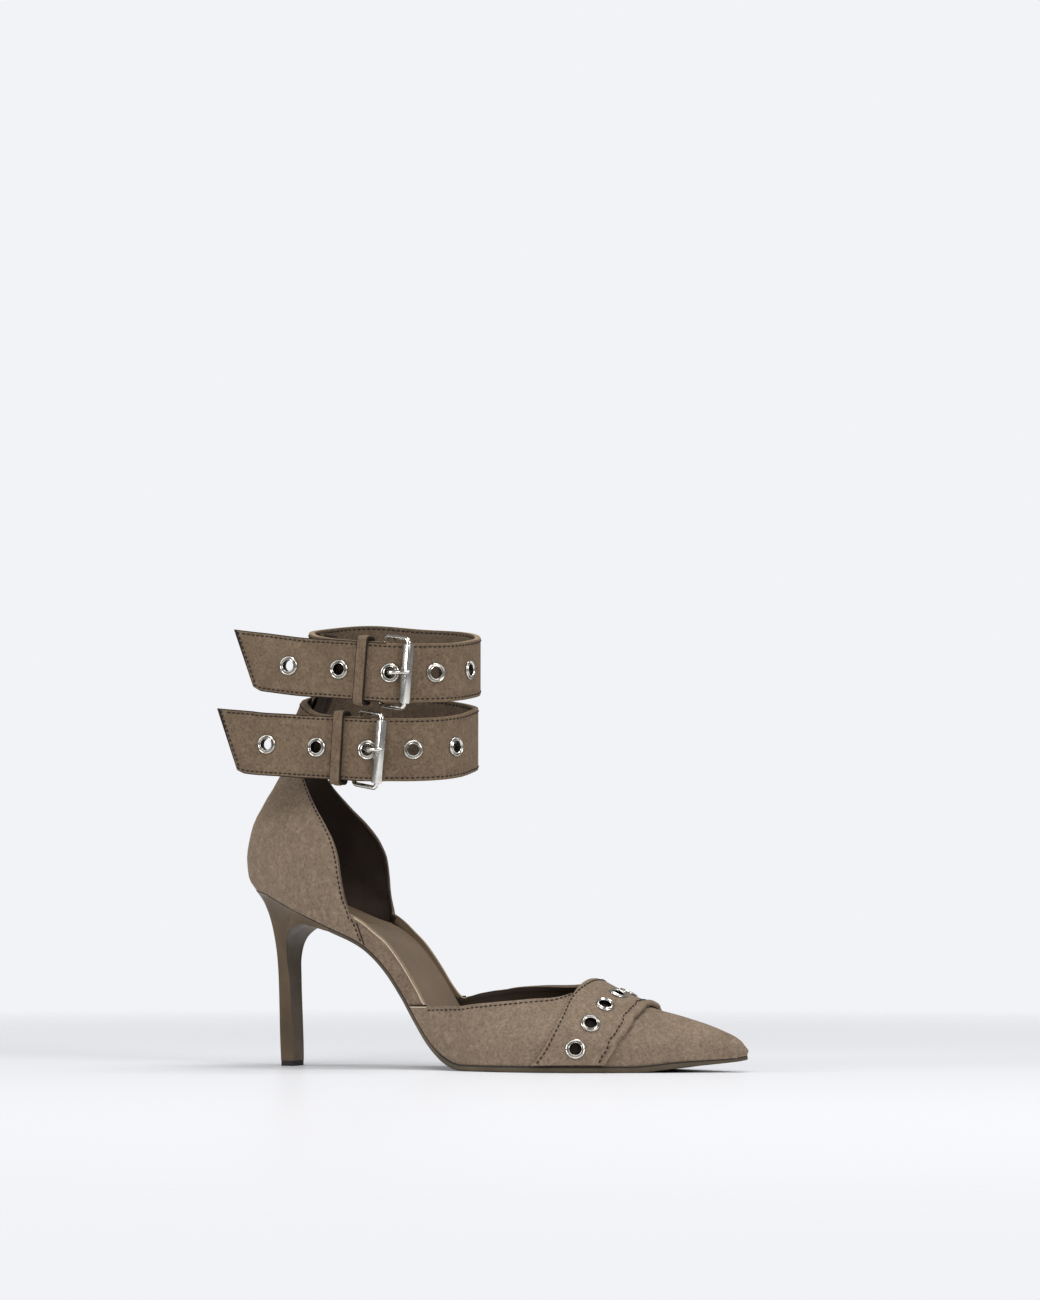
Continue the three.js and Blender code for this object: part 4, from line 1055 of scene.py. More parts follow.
@dataclass(frozen=True)
class Plated:
    """Bright metal plating with faint wear and fine scratches."""

    name: str
    tone: str
    dull: str
    roughness: float = 0.16

    def make(self) -> bpy.types.Material:
        """Builds the material."""
        material, tree, where = new_material(self.name)
        wear, fine = [
            add_node(tree, "TexNoise", {"Vector": where, "Scale": 1000 / size, "Detail": 3,
                                        "Roughness": rough}, "Fac")
            for size, rough in ((6, 0.5), (2, 0.6))]
        colour = lay_colours(tree, linear(self.tone), ((wear, 0.45, 0.75, 0, 1, linear(self.dull)),))
        rough = add_node(tree, "MapRange", {
            "Value": fine, "From Min": 0.3, "From Max": 0.8,
            "To Min": self.roughness - 0.04, "To Max": self.roughness + 0.10}, "Result", clamp=True)
        relief = add_node(tree, "Bump", {"Height": fine, "Strength": 1.0, "Distance": 0.002 / 1000}, "Normal")
        shader = add_node(tree, "BsdfPrincipled", {
            "Base Color": colour, "Metallic": 1.0, "Roughness": rough, "Normal": relief}, "BSDF")
        add_node(tree, "OutputMaterial", {"Surface": shader})
        return material


@dataclass(frozen=True)
class Paper:
    """Plain pale floor paper that fades into the air round the shoe."""

    name: str
    tone: str
    near: float = 0.34
    far: float = 1.0

    def make(self) -> bpy.types.Material:
        """Builds the material."""
        material, tree, where = new_material(self.name)
        shader = add_node(tree, "BsdfPrincipled", {
            "Base Color": linear(self.tone), "Roughness": 0.3, "Specular IOR Level": 0.25}, "BSDF")
        reach = add_node(tree, "VectorMath", {0: where}, "Value", operation="LENGTH")
        fade = add_node(tree, "MapRange", {
            "Value": reach, "From Min": self.near, "From Max": self.far,
            "To Min": 0, "To Max": 1}, "Result", clamp=True)
        clear = add_node(tree, "BsdfTransparent", output="BSDF")
        mixed = add_node(tree, "MixShader", {0: fade, 1: shader, 2: clear}, "Shader")
        add_node(tree, "OutputMaterial", {"Surface": mixed})
        return material


class Finish(Enum):
    """Every finish on the shoe and round it."""

    # Brushed taupe suede: dull, with a nap that catches light in specks and soft darker patches.
    SUEDE = Suede("taupe_suede", "#827160", "#6c5d4e", "#948371")
    # The same suede turned low over the waist, where it looks a little greyer.
    WAIST = Suede("taupe_waist_suede", "#7b6a59", "#665649", "#8c7b69")
    # Strap suede, a shade darker than the upper's: painted shade for the lesser light that falls on the
    # straps.
    STRAP = Suede("taupe_strap_suede_painted_shade", "#766451", "#5f4f40", "#877561")
    # The strap's suede lining: short nap and flatter, darker than its own tone as painted shade inside the
    # loop.
    STRAP_INSIDE = Suede("strap_lining_painted_shade", "#6a5a4b", "#554739", "#7b6a58", depth=0.06)
    # Cut suede edge: paler fibres, hardly any nap.
    RAW_EDGE = Suede("cut_suede_edge", "#95836c", "#7a6955", "#a5937c", nap=0.4, depth=0.05, sheen=0.2)
    # Suede turned over the rim: pressed flat and darker than the face.
    RIM = Suede("turned_suede_rim", "#66574a", "#524539", "#786858", nap=0.4, depth=0.05, sheen=0.2)
    # Nearly black and matt: the strap's dark cut edges at the free end, partly dyed and partly painted
    # shadow, painted shade on the keeper's edges, and thin painted shadow lines along the upper's seams.
    DARK_EDGE = Suede("dark_edge_and_painted_shade", "#2f2620", "#211b16", "#3e342c", nap=0.4, depth=0.05, sheen=0.1)
    # Dyed lining leather: dark and dull, with a fine grain.
    LINING = Smooth("dark_lining_leather", "#3b2f26", "#271e18", 0.6, 0.8, 0.04)
    # Insole leather: smooth taupe with a low shine and wide, faint patches.
    INSOLE = Smooth("taupe_insole_leather", "#746350", "#675746", 0.5, 0.6, 0.02, 30)
    # Sole leather: grey-olive, sanded dull.
    OUTSOLE = Smooth("grey_olive_sole_leather", "#574c3b", "#43392b", 0.62, 0.7, 0.03)
    # Painted shadow in the gap between the upper and the outsole's top: dark and matt.
    OUTSOLE_EDGE = Smooth("sole_gap_painted_shadow", "#2b251e", "#201b16", 0.7, 0.7, 0.03)
    # Leather wrapped tightly round the heel: smooth, with a soft shine.
    HEEL = Smooth("heel_wrap_leather", "#615240", "#4a3d2f", 0.45, 0.5, 0.015, 22, shine=0.18)
    # A dark disc seen through an eyelet's hole: painted shade, dark and dull.
    HOLE_SHADE = Smooth("eyelet_hole_painted_shade", "#2b241f", "#1f1a16", 0.8, 0.4, 0.02, shine=0.1)
    # Moulded polyurethane: dark, even and matt.
    TOP_LIFT = Smooth("top_lift_polyurethane", "#2a2522", "#1d1a18", 0.65)
    # Polished nickel plate: bright, with faint wear.
    METAL = Plated("polished_nickel", "#d6d3cc", "#b2aea6")
    # The same plate inside an eyelet's barrel, where little light comes.
    BARREL = Plated("shaded_nickel", "#4f4a43", "#37332e", 0.4)
    # Pale suede edge turned to a thin bright line: partly the edge's own pale tone, partly a painted
    # highlight.
    PIPING = Suede("pale_edge_painted_highlight", "#c4b39b", "#a8967e", "#d2c3ac", nap=0.5, depth=0.04, speckle=0.3)
    # Bonded sewing thread: dark brown and dull.
    THREAD = Smooth("dark_sewing_thread", "#261e18", "#1a1410", 0.75, 0.25, 0.03)
    # Pale studio paper with a slight gloss, which gives a soft shadow.
    FLOOR = Paper("pale_studio_floor", "#f2f3f6")


MADE: dict[Finish, bpy.types.Material] = {}


def paint(piece: bpy.types.Object, *finishes: Finish) -> None:
    """Gives a piece its finishes, one for each material number."""
    for finish in finishes:
        if finish not in MADE:
            MADE[finish] = finish.value.make()
        piece.data.materials.append(MADE[finish])


def settle(piece: bpy.types.Object, slot: str, *nodes: str) -> None:
    """Fastens a finished piece to the shoe, in place of the plain nodes it stands for."""
    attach(piece, "root")
    if nodes:
        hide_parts(*nodes)
    LOG.info("%s: %d faces", piece.name, len(piece.data.polygons))


def dress(piece: bpy.types.Object, degrees: float, slot: str, node: str,
          *finishes: Finish) -> bpy.types.Object:
    """Paints, shades and settles a piece that stands for one node."""
    paint(piece, *finishes)
    shade(piece, degrees)
    settle(piece, slot, node)
    return piece


def sew_seams(name: str, stitches: list[Stitch], slot: str) -> bpy.types.Object:
    """Sews a piece's seams and settles them beside it."""
    thread = sew(name, stitches)
    paint(thread, Finish.THREAD)
    settle(thread, slot)
    return thread


# The shoe's parts

def spread(low: float, high: float, count: int) -> list[float]:
    """count + 1 numbers from low to high in equal steps."""
    return [mix(low, high, i / count) for i in range(count + 1)]


@dataclass(frozen=True)
class Crease:
    """One soft trough or ridge pressed into the upper.

    It runs from one place to another, each given as a rib number and a share of the climb, on one
    side of the shoe (-1 outer, 1 inner, 0 both). Depth is in millimetres, negative for a ridge.
    """

    side: int
    start: tuple[float, float]
    end: tuple[float, float]
    depth: float
    width: float


@dataclass
class Upper:
    """The hollow upper: vamp, cut-away sides, counter and the stay that holds the straps.

    Its waist runs between two rib numbers. outer_vamp_spot is a place on the outer side, where the
    faces have to point outwards. corner_lead is how far the vamp's corner lies before the waist.
    """

    wall: float = 1.8
    rim: float = 0.35
    seam_inset: float = 1.9
    groove: float = 0.16
    climb_rows: int = 34
    waist: tuple[float, float] = (18.6, 23.9)
    seam_slant: float = 1.05
    corner_lead: float = 0.35
    outer_vamp_spot: tuple[float, float, float] = (150, -38, 20)
    creases: tuple[Crease, ...] = (
        Crease(-1, (8.6, 0.99), (10.2, 0.62), 0.35, 2.6),
        Crease(-1, (9.2, 0.80), (11.4, 0.42), -0.28, 2.4),
        Crease(-1, (12.6, 0.78), (15.6, 0.34), 0.42, 3.2),
        Crease(-1, (14.4, 0.86), (17.2, 0.50), -0.30, 2.6),
        Crease(-1, (16.0, 0.62), (18.6, 0.24), 0.34, 2.4),
        Crease(-1, (24.6, 0.86), (29.0, 0.40), 0.40, 4.2),
        Crease(-1, (27.0, 0.70), (33.0, 0.34), -0.35, 4.6),
        Crease(-1, (31.0, 0.56), (36.5, 0.52), 0.30, 3.4),
        Crease(0, (37.0, 0.86), (38.0, 0.52), 0.22, 3.0),
        Crease(1, (8.8, 0.97), (11.0, 0.55), 0.36, 2.8),
        Crease(1, (12.4, 0.82), (16.0, 0.40), 0.46, 3.4),
        Crease(1, (15.0, 0.70), (18.4, 0.30), -0.32, 2.6),
        Crease(1, (25.0, 0.82), (31.0, 0.36), 0.42, 4.2),
        Crease(-1, (5.2, 0.86), (7.4, 0.70), 0.16, 3.0),
        Crease(1, (5.0, 0.90), (7.6, 0.66), 0.16, 3.0),
        Crease(-1, (2.4, 0.20), (5.6, 0.12), 0.14, 2.2),
        Crease(0, (24.4, 0.96), (24.0, 0.06), -0.3, 1.6),
    )

    def __post_init__(self) -> None:
        """Spaces the ribs and finds how high each one climbs."""
        self.ribs = [0.0]
        for start, end, count in ((0, 3, 18), (3, LAST_CLOSED_RIB, 34), (LAST_CLOSED_RIB, 12, 28),
                                  (12, SEAM_RIB, 48), (SEAM_RIB, LAST_RIB, 56)):
            self.ribs += spread(start, end, count)[1:]
        self.heights: dict[tuple[float, int], float] = {}
        self.lines = []
        for crease in self.creases:
            for side in ((-1, 1) if crease.side == 0 else (crease.side,)):
                points = [LAST.upper_point(mix(crease.start[0], crease.end[0], t),
                                           mix(crease.start[1], crease.end[1], t), side)
                          for t in spread(0, 1, 12)]
                self.lines.append((crease, side, points))

    def height(self, u: float, side: int) -> float:
        """Length of a rib from the sole to its top."""
        key = (u, side)
        if key not in self.heights:
            points = [LAST.upper_point(u, v, side) for v in spread(0, 1, 10)]
            self.heights[key] = sum((b - a).length for a, b in zip(points, points[1:]))
        return self.heights[key]

    def share(self, u: float, side: int, row: int) -> float:
        """How far up a rib a row of points lies: the last rows keep close to the edge."""
        edge = (0.0, 0.45, 0.9, 1.5, 1.9, 2.3, 2.9, 3.8)
        if u <= LAST_CLOSED_RIB:
            return row / self.climb_rows
        height = self.height(u, side)
        part = smooth((u - LAST_CLOSED_RIB) / 0.8)
        from_top = self.climb_rows - row
        if from_top < len(edge):
            near = 1 - edge[from_top] / height
        else:
            near = (1 - edge[-1] / height) * row / (self.climb_rows - len(edge) + 1)
        return mix(row / self.climb_rows, near, part)

    def press(self, point: Vector, u: float, v: float, side: int) -> float:
        """How far the surface sinks at a point: creases, the seam's groove and soft unevenness."""
        sunk = 0.0
        for crease, crease_side, points in self.lines:
            if crease_side != side or (point - points[6]).length > 42:
                continue
            near = min(range(len(points)), key=lambda k: (point - points[k]).length)
            fade = math.sin(math.pi * clamp((near + 0.5) / len(points))) ** 0.7
            sunk += crease.depth * fade * math.exp(-((point - points[near]).length / crease.width) ** 2)
        if u > LAST_CLOSED_RIB + 0.3:
            off = (1 - v) * self.height(u, side) - self.seam_inset
            sunk += self.groove * math.exp(-(off / 0.5) ** 2) * smooth((u - LAST_CLOSED_RIB - 0.3) / 0.4)
        sunk += 0.10 * math.sin(point.x * 0.31 + point.z * 0.17) * math.sin(point.z * 0.27 - point.x * 0.11)
        return sunk * smooth(v * 6) * (1 if u > 0.5 else 2 * u)

    def place(self, i: int, j: int) -> Vector:
        """The place of a column and row of points: outer side first, then back along the inner one."""
        last = len(self.ribs) - 1
        side = -1 if i <= last else 1
        u = self.ribs[i if i <= last else 2 * last - i]
        v = self.share(u, side, j)
        point = LAST.upper_point(u, v, side)
        ridge = u <= LAST_CLOSED_RIB and v > 0.985
        if u <= 0 or u >= LAST_RIB:
            normal = Vector((1.0 if u <= 0 else -1.0, 0, 0))
        else:
            normal = LAST.upper_normal(u, min(v, 0.985), side)
            if ridge:
                normal.y = 0
        return point - normal.normalized() * self.press(point, u, v, side)

    def edge_line(self, side: int, inset: float, start: float, end: float,
                  count: int) -> list[tuple[Vector, Vector]]:
        """A line on the upper at a distance below its edge, with the surface's normals."""
        line = []
        for u in spread(start, end, count):
            v = 1 - inset / self.height(u, side)
            normal = LAST.upper_normal(u, v, side)
            line.append((LAST.upper_point(u, v, side) - normal * self.groove, normal))
        return line

    def make(self) -> list[bpy.types.Object]:
        """Makes the shell, its lining and its seams."""
        last = len(self.ribs) - 1
        seam_z = {side: self.level_line(side)[0][0].z for side in (-1, 1)}

        def panel(i: int, j: int) -> int:
            """Number of the panel's outer finish: the waist has its own, above the level seam."""
            side = -1 if i < last else 1
            u = self.ribs[i if i < last else 2 * last - 1 - i]
            v = self.share(u, side, j)
            if not self.waist[0] - 0.5 < u < self.waist[1] - self.seam_slant * (1 - v):
                return 0
            return 3 if LAST.upper_point(u, v, side).z > seam_z[side] else 0

        shell = shaped_grid("upper_shell", 2 * last, self.climb_rows, self.place, paint=panel, solid=False)
        spot = to_frame(Vector(self.outer_vamp_spot))
        outer_face = min(shell.data.polygons, key=lambda face: (face.center - spot).length)
        if outer_face.normal.y > 0:
            shell.data.flip_normals()
        paint(shell, Finish.SUEDE, Finish.LINING, Finish.RIM, Finish.WAIST, Finish.INSOLE, Finish.RAW_EDGE)
        thick = shell.modifiers.new("wall", "SOLIDIFY")
        thick.thickness = self.wall / 1000
        thick.offset = -1
        thick.material_offset = 1
        thick.material_offset_rim = 2
        soften(shell, self.rim, 2, 60)
        shade(shell, 60)
        settle(shell, "suede", "upper")
        seams: list[Stitch] = []
        for side in (-1, 1):
            seams += stitches_along(self.edge_line(side, self.seam_inset, LAST_CLOSED_RIB + 0.35,
                                                   self.waist[0] - self.corner_lead, 220))
            counter = self.edge_line(side, self.seam_inset, LAST_RIB - 2.4, self.waist[1] + 0.3, 240)
            top = self.waist[1] + 0.15
            seams += stitches_along(counter + self.rib_line(side, top, top - self.seam_slant))
        thread = sew_seams("upper_seams", seams, "suede")
        return [shell, thread] + [self.make_piping(side) for side in (-1, 1)]

    def rib_line(self, side: int, top: float, foot: float) -> list[tuple[Vector, Vector]]:
        """A line on the upper from its edge down to the sole, from one rib number to another."""
        line = []
        start = 1 - self.seam_inset / self.height(top, side)
        for v in spread(start, 0.05, 30):
            u = mix(foot, top, v)
            normal = LAST.upper_normal(u, v, side)
            line.append((LAST.upper_point(u, v, side), normal))
        return line

    def level_line(self, side: int) -> list[tuple[Vector, Vector]]:
        """The level line on the upper from the vamp's corner back to the sole."""
        line = []
        corner = self.waist[0] - self.corner_lead
        z = LAST.upper_point(corner, 1 - 0.9 / self.height(corner, side), side).z
        climb = spread(0, 1, 40)
        for u in spread(corner, self.waist[0] + 2, 60):
            heights = [LAST.upper_point(u, v, side).z for v in climb]
            if heights[0] > z:
                break
            v = float(np.interp(z, heights, climb))
            line.append((LAST.upper_point(u, v, side), LAST.upper_normal(u, v, side)))
        return line

    def make_piping(self, side: int) -> bpy.types.Object:
        """Makes the pale line at the edge of the waist and along the vamp's level seam, partly a painted
        highlight, with thin painted shadow lines above the level seam and where the counter laps over the
        waist.
        """
        edge = self.edge_line(side, 0.45, self.waist[0], self.waist[1] - 0.1, 90)
        seam = self.level_line(side)
        up = Vector((0, 0, 1))
        name = f"waist_piping_{'outer' if side < 0 else 'inner'}"
        # The pale lines are partly the edge's own pale tone and partly a painted highlight.
        pale = [sweep(name, [point + normal * lift for point, normal in line], 0.34, up, sides=8)
                for line, lift in ((edge, 0.1), (seam, 0.0))]
        # A dark line just above the level seam: painted shadow.
        shaded = [point + up * 0.8 + normal * 0.15 for point, normal in seam]
        shadow = sweep("shadow", shaded, 0.36, up, sides=8)
        for piece in pale:
            paint(piece, Finish.PIPING)
        # A dark line where the counter panel laps over the waist panel: painted shadow.
        top = self.waist[1] - 0.06
        rear = [point for point, _ in self.rib_line(side, top, top - self.seam_slant)]
        overlap_shadow = sweep("overlap_shadow", rear, 0.3, Vector((1, 0, 0)), sides=8)
        for piece in (shadow, overlap_shadow):
            paint(piece, Finish.DARK_EDGE)
        piping = join(name, [*pale, shadow, overlap_shadow])
        shade(piping, 80)
        settle(piping, "suede")
        return piping


@dataclass
class Sole:
    """Insole and outsole: both follow the sole line and take their edges from the upper's foot.

    The faces of the outsole's section above its tread edge are painted dark: painted shadow in the gap under
    the upper.
    """

    insole_gap: float = 0.45
    insole_rows: tuple[tuple[float, float], ...] = (
        (0, 5), (0.2, 5), (0.3, 6.6), (0.38, 6.6), (0.48, 3), (1, 3))
    outsole_rows: tuple[tuple[float, float], ...] = ((0, 1.5), (0.38, 1.5), (0.48, 2.5), (1, 2.5))
    welt: float = 0.6
    cup: float = 0.5
    last_rib: float = SEAM_RIB + 2
    gap_shadow_faces: tuple[int, ...] = (0, 1, 13, 14, 15)

    def __post_init__(self) -> None:
        """Turns the thicknesses into curves."""
        rows = table("along thick", *self.insole_rows)
        self.insole_at = follow(rows, "along", "thick")
        rows = table("along thick", *self.outsole_rows)
        self.outsole_at = follow(rows, "along", "thick")

    def inner_edge(self, u: float, side: int, level: float) -> Vector:
        """A point on the inside of the wall at a level above the sole line, less the gap."""
        out = LAST.foot_out(u, side)
        share = clamp(level / max(6.0, UPPER.height(u, side)))
        point = LAST.upper_point(u, share, side)
        normal = out if u <= 0 or u >= LAST_RIB else LAST.upper_normal(u, share, side)
        return point - normal * LAST.wall - out * self.insole_gap

    def insole_ring(self, u: float) -> list[Vector]:
        """The insole's section at a rib: rounded edges and a slightly cupped sock."""
        thick = self.insole_at(LAST.upper_point(u, 0, -1).x / LAST.length)
        edges = {side: self.inner_edge(u, side, thick) for side in (-1, 1)}
        middle = (edges[-1] + edges[1]) / 2
        half = (edges[1] - edges[-1]) / 2
        ring = []
        for across in spread(-1, 1, 22):
            at = math.copysign(abs(across) ** 0.8, across)
            point = middle + half * at
            beyond = max(0.0, (abs(at) - 0.94) / 0.06)
            edge = min(0.7, half.length) * (1 - math.sqrt(max(0.0, 1 - beyond ** 2)))
            level = thick - edge - self.cup * (1 - at * at) * smooth(half.length / 10)
            ring.append(LAST.at_level(Vector((point.x, point.y, 0)), level))
        for across in (1, 0, -1):
            point = middle + half * across
            ring.append(LAST.at_level(Vector((point.x, point.y, 0)), 0.1))
        return ring

    def outsole_ring(self, u: float) -> list[Vector]:
        """The outsole's section at a rib: welt, rounded tread edge and flat tread."""
        ring = []
        along = LAST.upper_point(u, 0, -1).x / LAST.length
        tip = smooth((along - 0.86) / 0.14)
        thick = self.outsole_at(along) * mix(1, 0.55, tip)
        profile = ((-1.2, -0.15), (0.0, -0.15), (0.0, 0.14), (0.0, 0.35), (-0.06, 0.62),
                   (-0.22, 0.86), (-0.5, 1.0), (-1.4, 1.0))
        for side, order in ((-1, profile), (1, profile[::-1])):
            foot = LAST.upper_point(u, 0, side)
            out = LAST.foot_out(u, side)
            welt = self.welt * smooth((foot.x / LAST.length - 0.4) / 0.1) * (1 - tip)
            for inset, depth in order:
                spot = foot + out * (welt + inset * thick * 0.5)
                ring.append(LAST.at_level(spot, -LAST.gap - thick * depth))
        return ring

    def make(self) -> list[bpy.types.Object]:
        """Makes the insole and the outsole."""
        ribs = spread(0, 1, 8) + spread(1, LAST_RIB, 150)[1:]
        insole = tube("insole_sock", [self.insole_ring(u) for u in ribs])
        dress(insole, 50, "lining_leather", "insole", Finish.INSOLE)
        ribs = spread(0, 1, 10) + spread(1, self.last_rib, 130)[1:]
        # The top faces of the section get the dark finish: painted shadow in the gap under the upper.
        outsole = tube("outsole_tread", [self.outsole_ring(u) for u in ribs],
                       paint=lambda _, j: int(j in self.gap_shadow_faces))
        dress(outsole, 50, "sole_leather", "outsole", Finish.OUTSOLE, Finish.OUTSOLE_EDGE)
        return [insole, outsole]


@dataclass
class Heel:
    """The covered high heel and its top lift."""

    tip_length: float = 6.2
    tip_width: float = 12
    lift: float = 2.4
    lip_steps: int = 12

    def tip_point(self, share: float) -> Vector:
        """Where a share of the way round the seat lands on the tip: side, back, other side."""
        half, front, third = self.tip_width / 2, HEEL_TIP_BACK + self.tip_length, 1 / 3
        if share < third:
            return Vector((mix(front, HEEL_TIP_BACK, share / third), -half, self.lift))
        if share > 1 - third:
            return Vector((mix(front, HEEL_TIP_BACK, (1 - share) / third), half, self.lift))
        return Vector((HEEL_TIP_BACK, mix(-half, half, (share - third) / third), self.lift))

    def make(self) -> list[bpy.types.Object]:
        """Makes the heel and dresses the top lift."""
        start = SOLE.last_rib
        ribs = spread(start, LAST_RIB, 48)
        feet = [(u, -1) for u in ribs] + [(u, 1) for u in reversed(ribs[:-1])]
        breast = LAST.upper_point(start, 0, -1).x - LAST.gap
        seat = [LAST.at_level(LAST.upper_point(u, 0, side), -LAST.gap) for u, side in feet]
        seat[0].x = seat[-1].x = breast
        level = -LAST.gap - SOLE.outsole_at(breast / LAST.length)
        lip = []
        for t in spread(0, 1, self.lip_steps):
            spot = LAST.upper_point(start, 0, 1).lerp(LAST.upper_point(start, 0, -1), t)
            lip.append(LAST.at_level(Vector((breast, spot.y, 0)), level))
        back_x = min(point.x for point in seat)
        flare = curves(HEEL_FLARE)
        rings = []
        for step in spread(0, len(HEEL_FLARE) - 1, 77):
            row = {key: curve(step) for key, curve in flare.items()}
            ring = []
            for index, point in enumerate(seat):
                foot = self.tip_point(index / (len(seat) - 1))
                forward = smooth((point.x - back_x) / (breast - back_x))
                ring.append(Vector((mix(foot.x, point.x, mix(row["back"], row["breast"], forward)),
                                    mix(foot.y, point.y, row["side"]),
                                    mix(foot.z, point.z, mix(row["height"], row["breast_height"], forward)))))
            for index, point in enumerate(lip):
                foot = Vector((HEEL_TIP_BACK + self.tip_length,
                               mix(self.tip_width, -self.tip_width, index / self.lip_steps) / 2, 0))
                ring.append(Vector((mix(foot.x, point.x, row["breast"]), mix(foot.y, point.y, row["side"]),
                                    mix(self.lift, point.z, row["breast_height"]))))
            rings.append(ring)
        heel = tube("heel_block", rings)
        soften(heel, 0.5, 2, 38)
        return [dress(heel, 40, "heel_cover", "heel", Finish.HEEL), self.make_lift()]

    def make_lift(self) -> bpy.types.Object:
        """Makes the top lift with softened edges."""
        low, high = TOP_LIFT
        lift = box("top_lift_plate", (low + high) / 2, high - low)
        soften(lift, 0.4, 3, 30)
        return dress(lift, 40, "top_lift_plastic", "top_lift", Finish.TOP_LIFT)


@dataclass(frozen=True)
class EyeletStyle:
    """Sizes of a metal eyelet: bore, barrel, flange and the height of its rolled rim."""

    bore: float = 5.2
    barrel: float = 6.2
    flange: float = 8.7
    height: float = 0.85

    def profile(self, thickness: float) -> list[tuple[float, float]]:
        """Radius and height round the eyelet's section: barrel, rolled inner lip, dish, rolled rim."""
        inner, barrel, rim = self.bore / 2, self.barrel / 2, self.flange / 2
        face = thickness / 2 + 0.08
        top = face + self.height
        back = -thickness / 2
        return [
            (inner, back - 0.25), (inner + 0.25, back - 0.5), (barrel + 0.5, back - 0.45),
            (barrel + 1.1, back - 0.1), (barrel + 0.9, back + 0.05), (barrel, back + 0.1), (barrel, face),
            (rim - 0.25, face), (rim - 0.04, face + 0.12), (rim, mix(face, top, 0.4)),
            (rim - 0.08, mix(face, top, 0.66)), (rim - 0.32, mix(face, top, 0.8)),
            (rim - 0.6, mix(face, top, 0.62)), (rim - 0.82, mix(face, top, 0.22)),
            (rim - 1.05, mix(face, top, 0.12)), (rim - 1.25, mix(face, top, 0.3)),
            (inner + 0.42, mix(face, top, 0.92)), (inner + 0.22, top + 0.05),
            (inner + 0.03, mix(face, top, 0.84)), (inner, mix(face, top, 0.5)),
        ]

    def make(self, name: str, thickness: float, place: Vector, axis: Vector) -> bpy.types.Object:
        """Makes one eyelet."""
        profile = self.profile(thickness)
        piece = lathe(name, profile, place, axis, paint=lambda _, j: int(j == len(profile) - 1))
        paint(piece, Finish.METAL, Finish.BARREL)
        shade(piece, 50)
        return piece


EYELET = EyeletStyle()


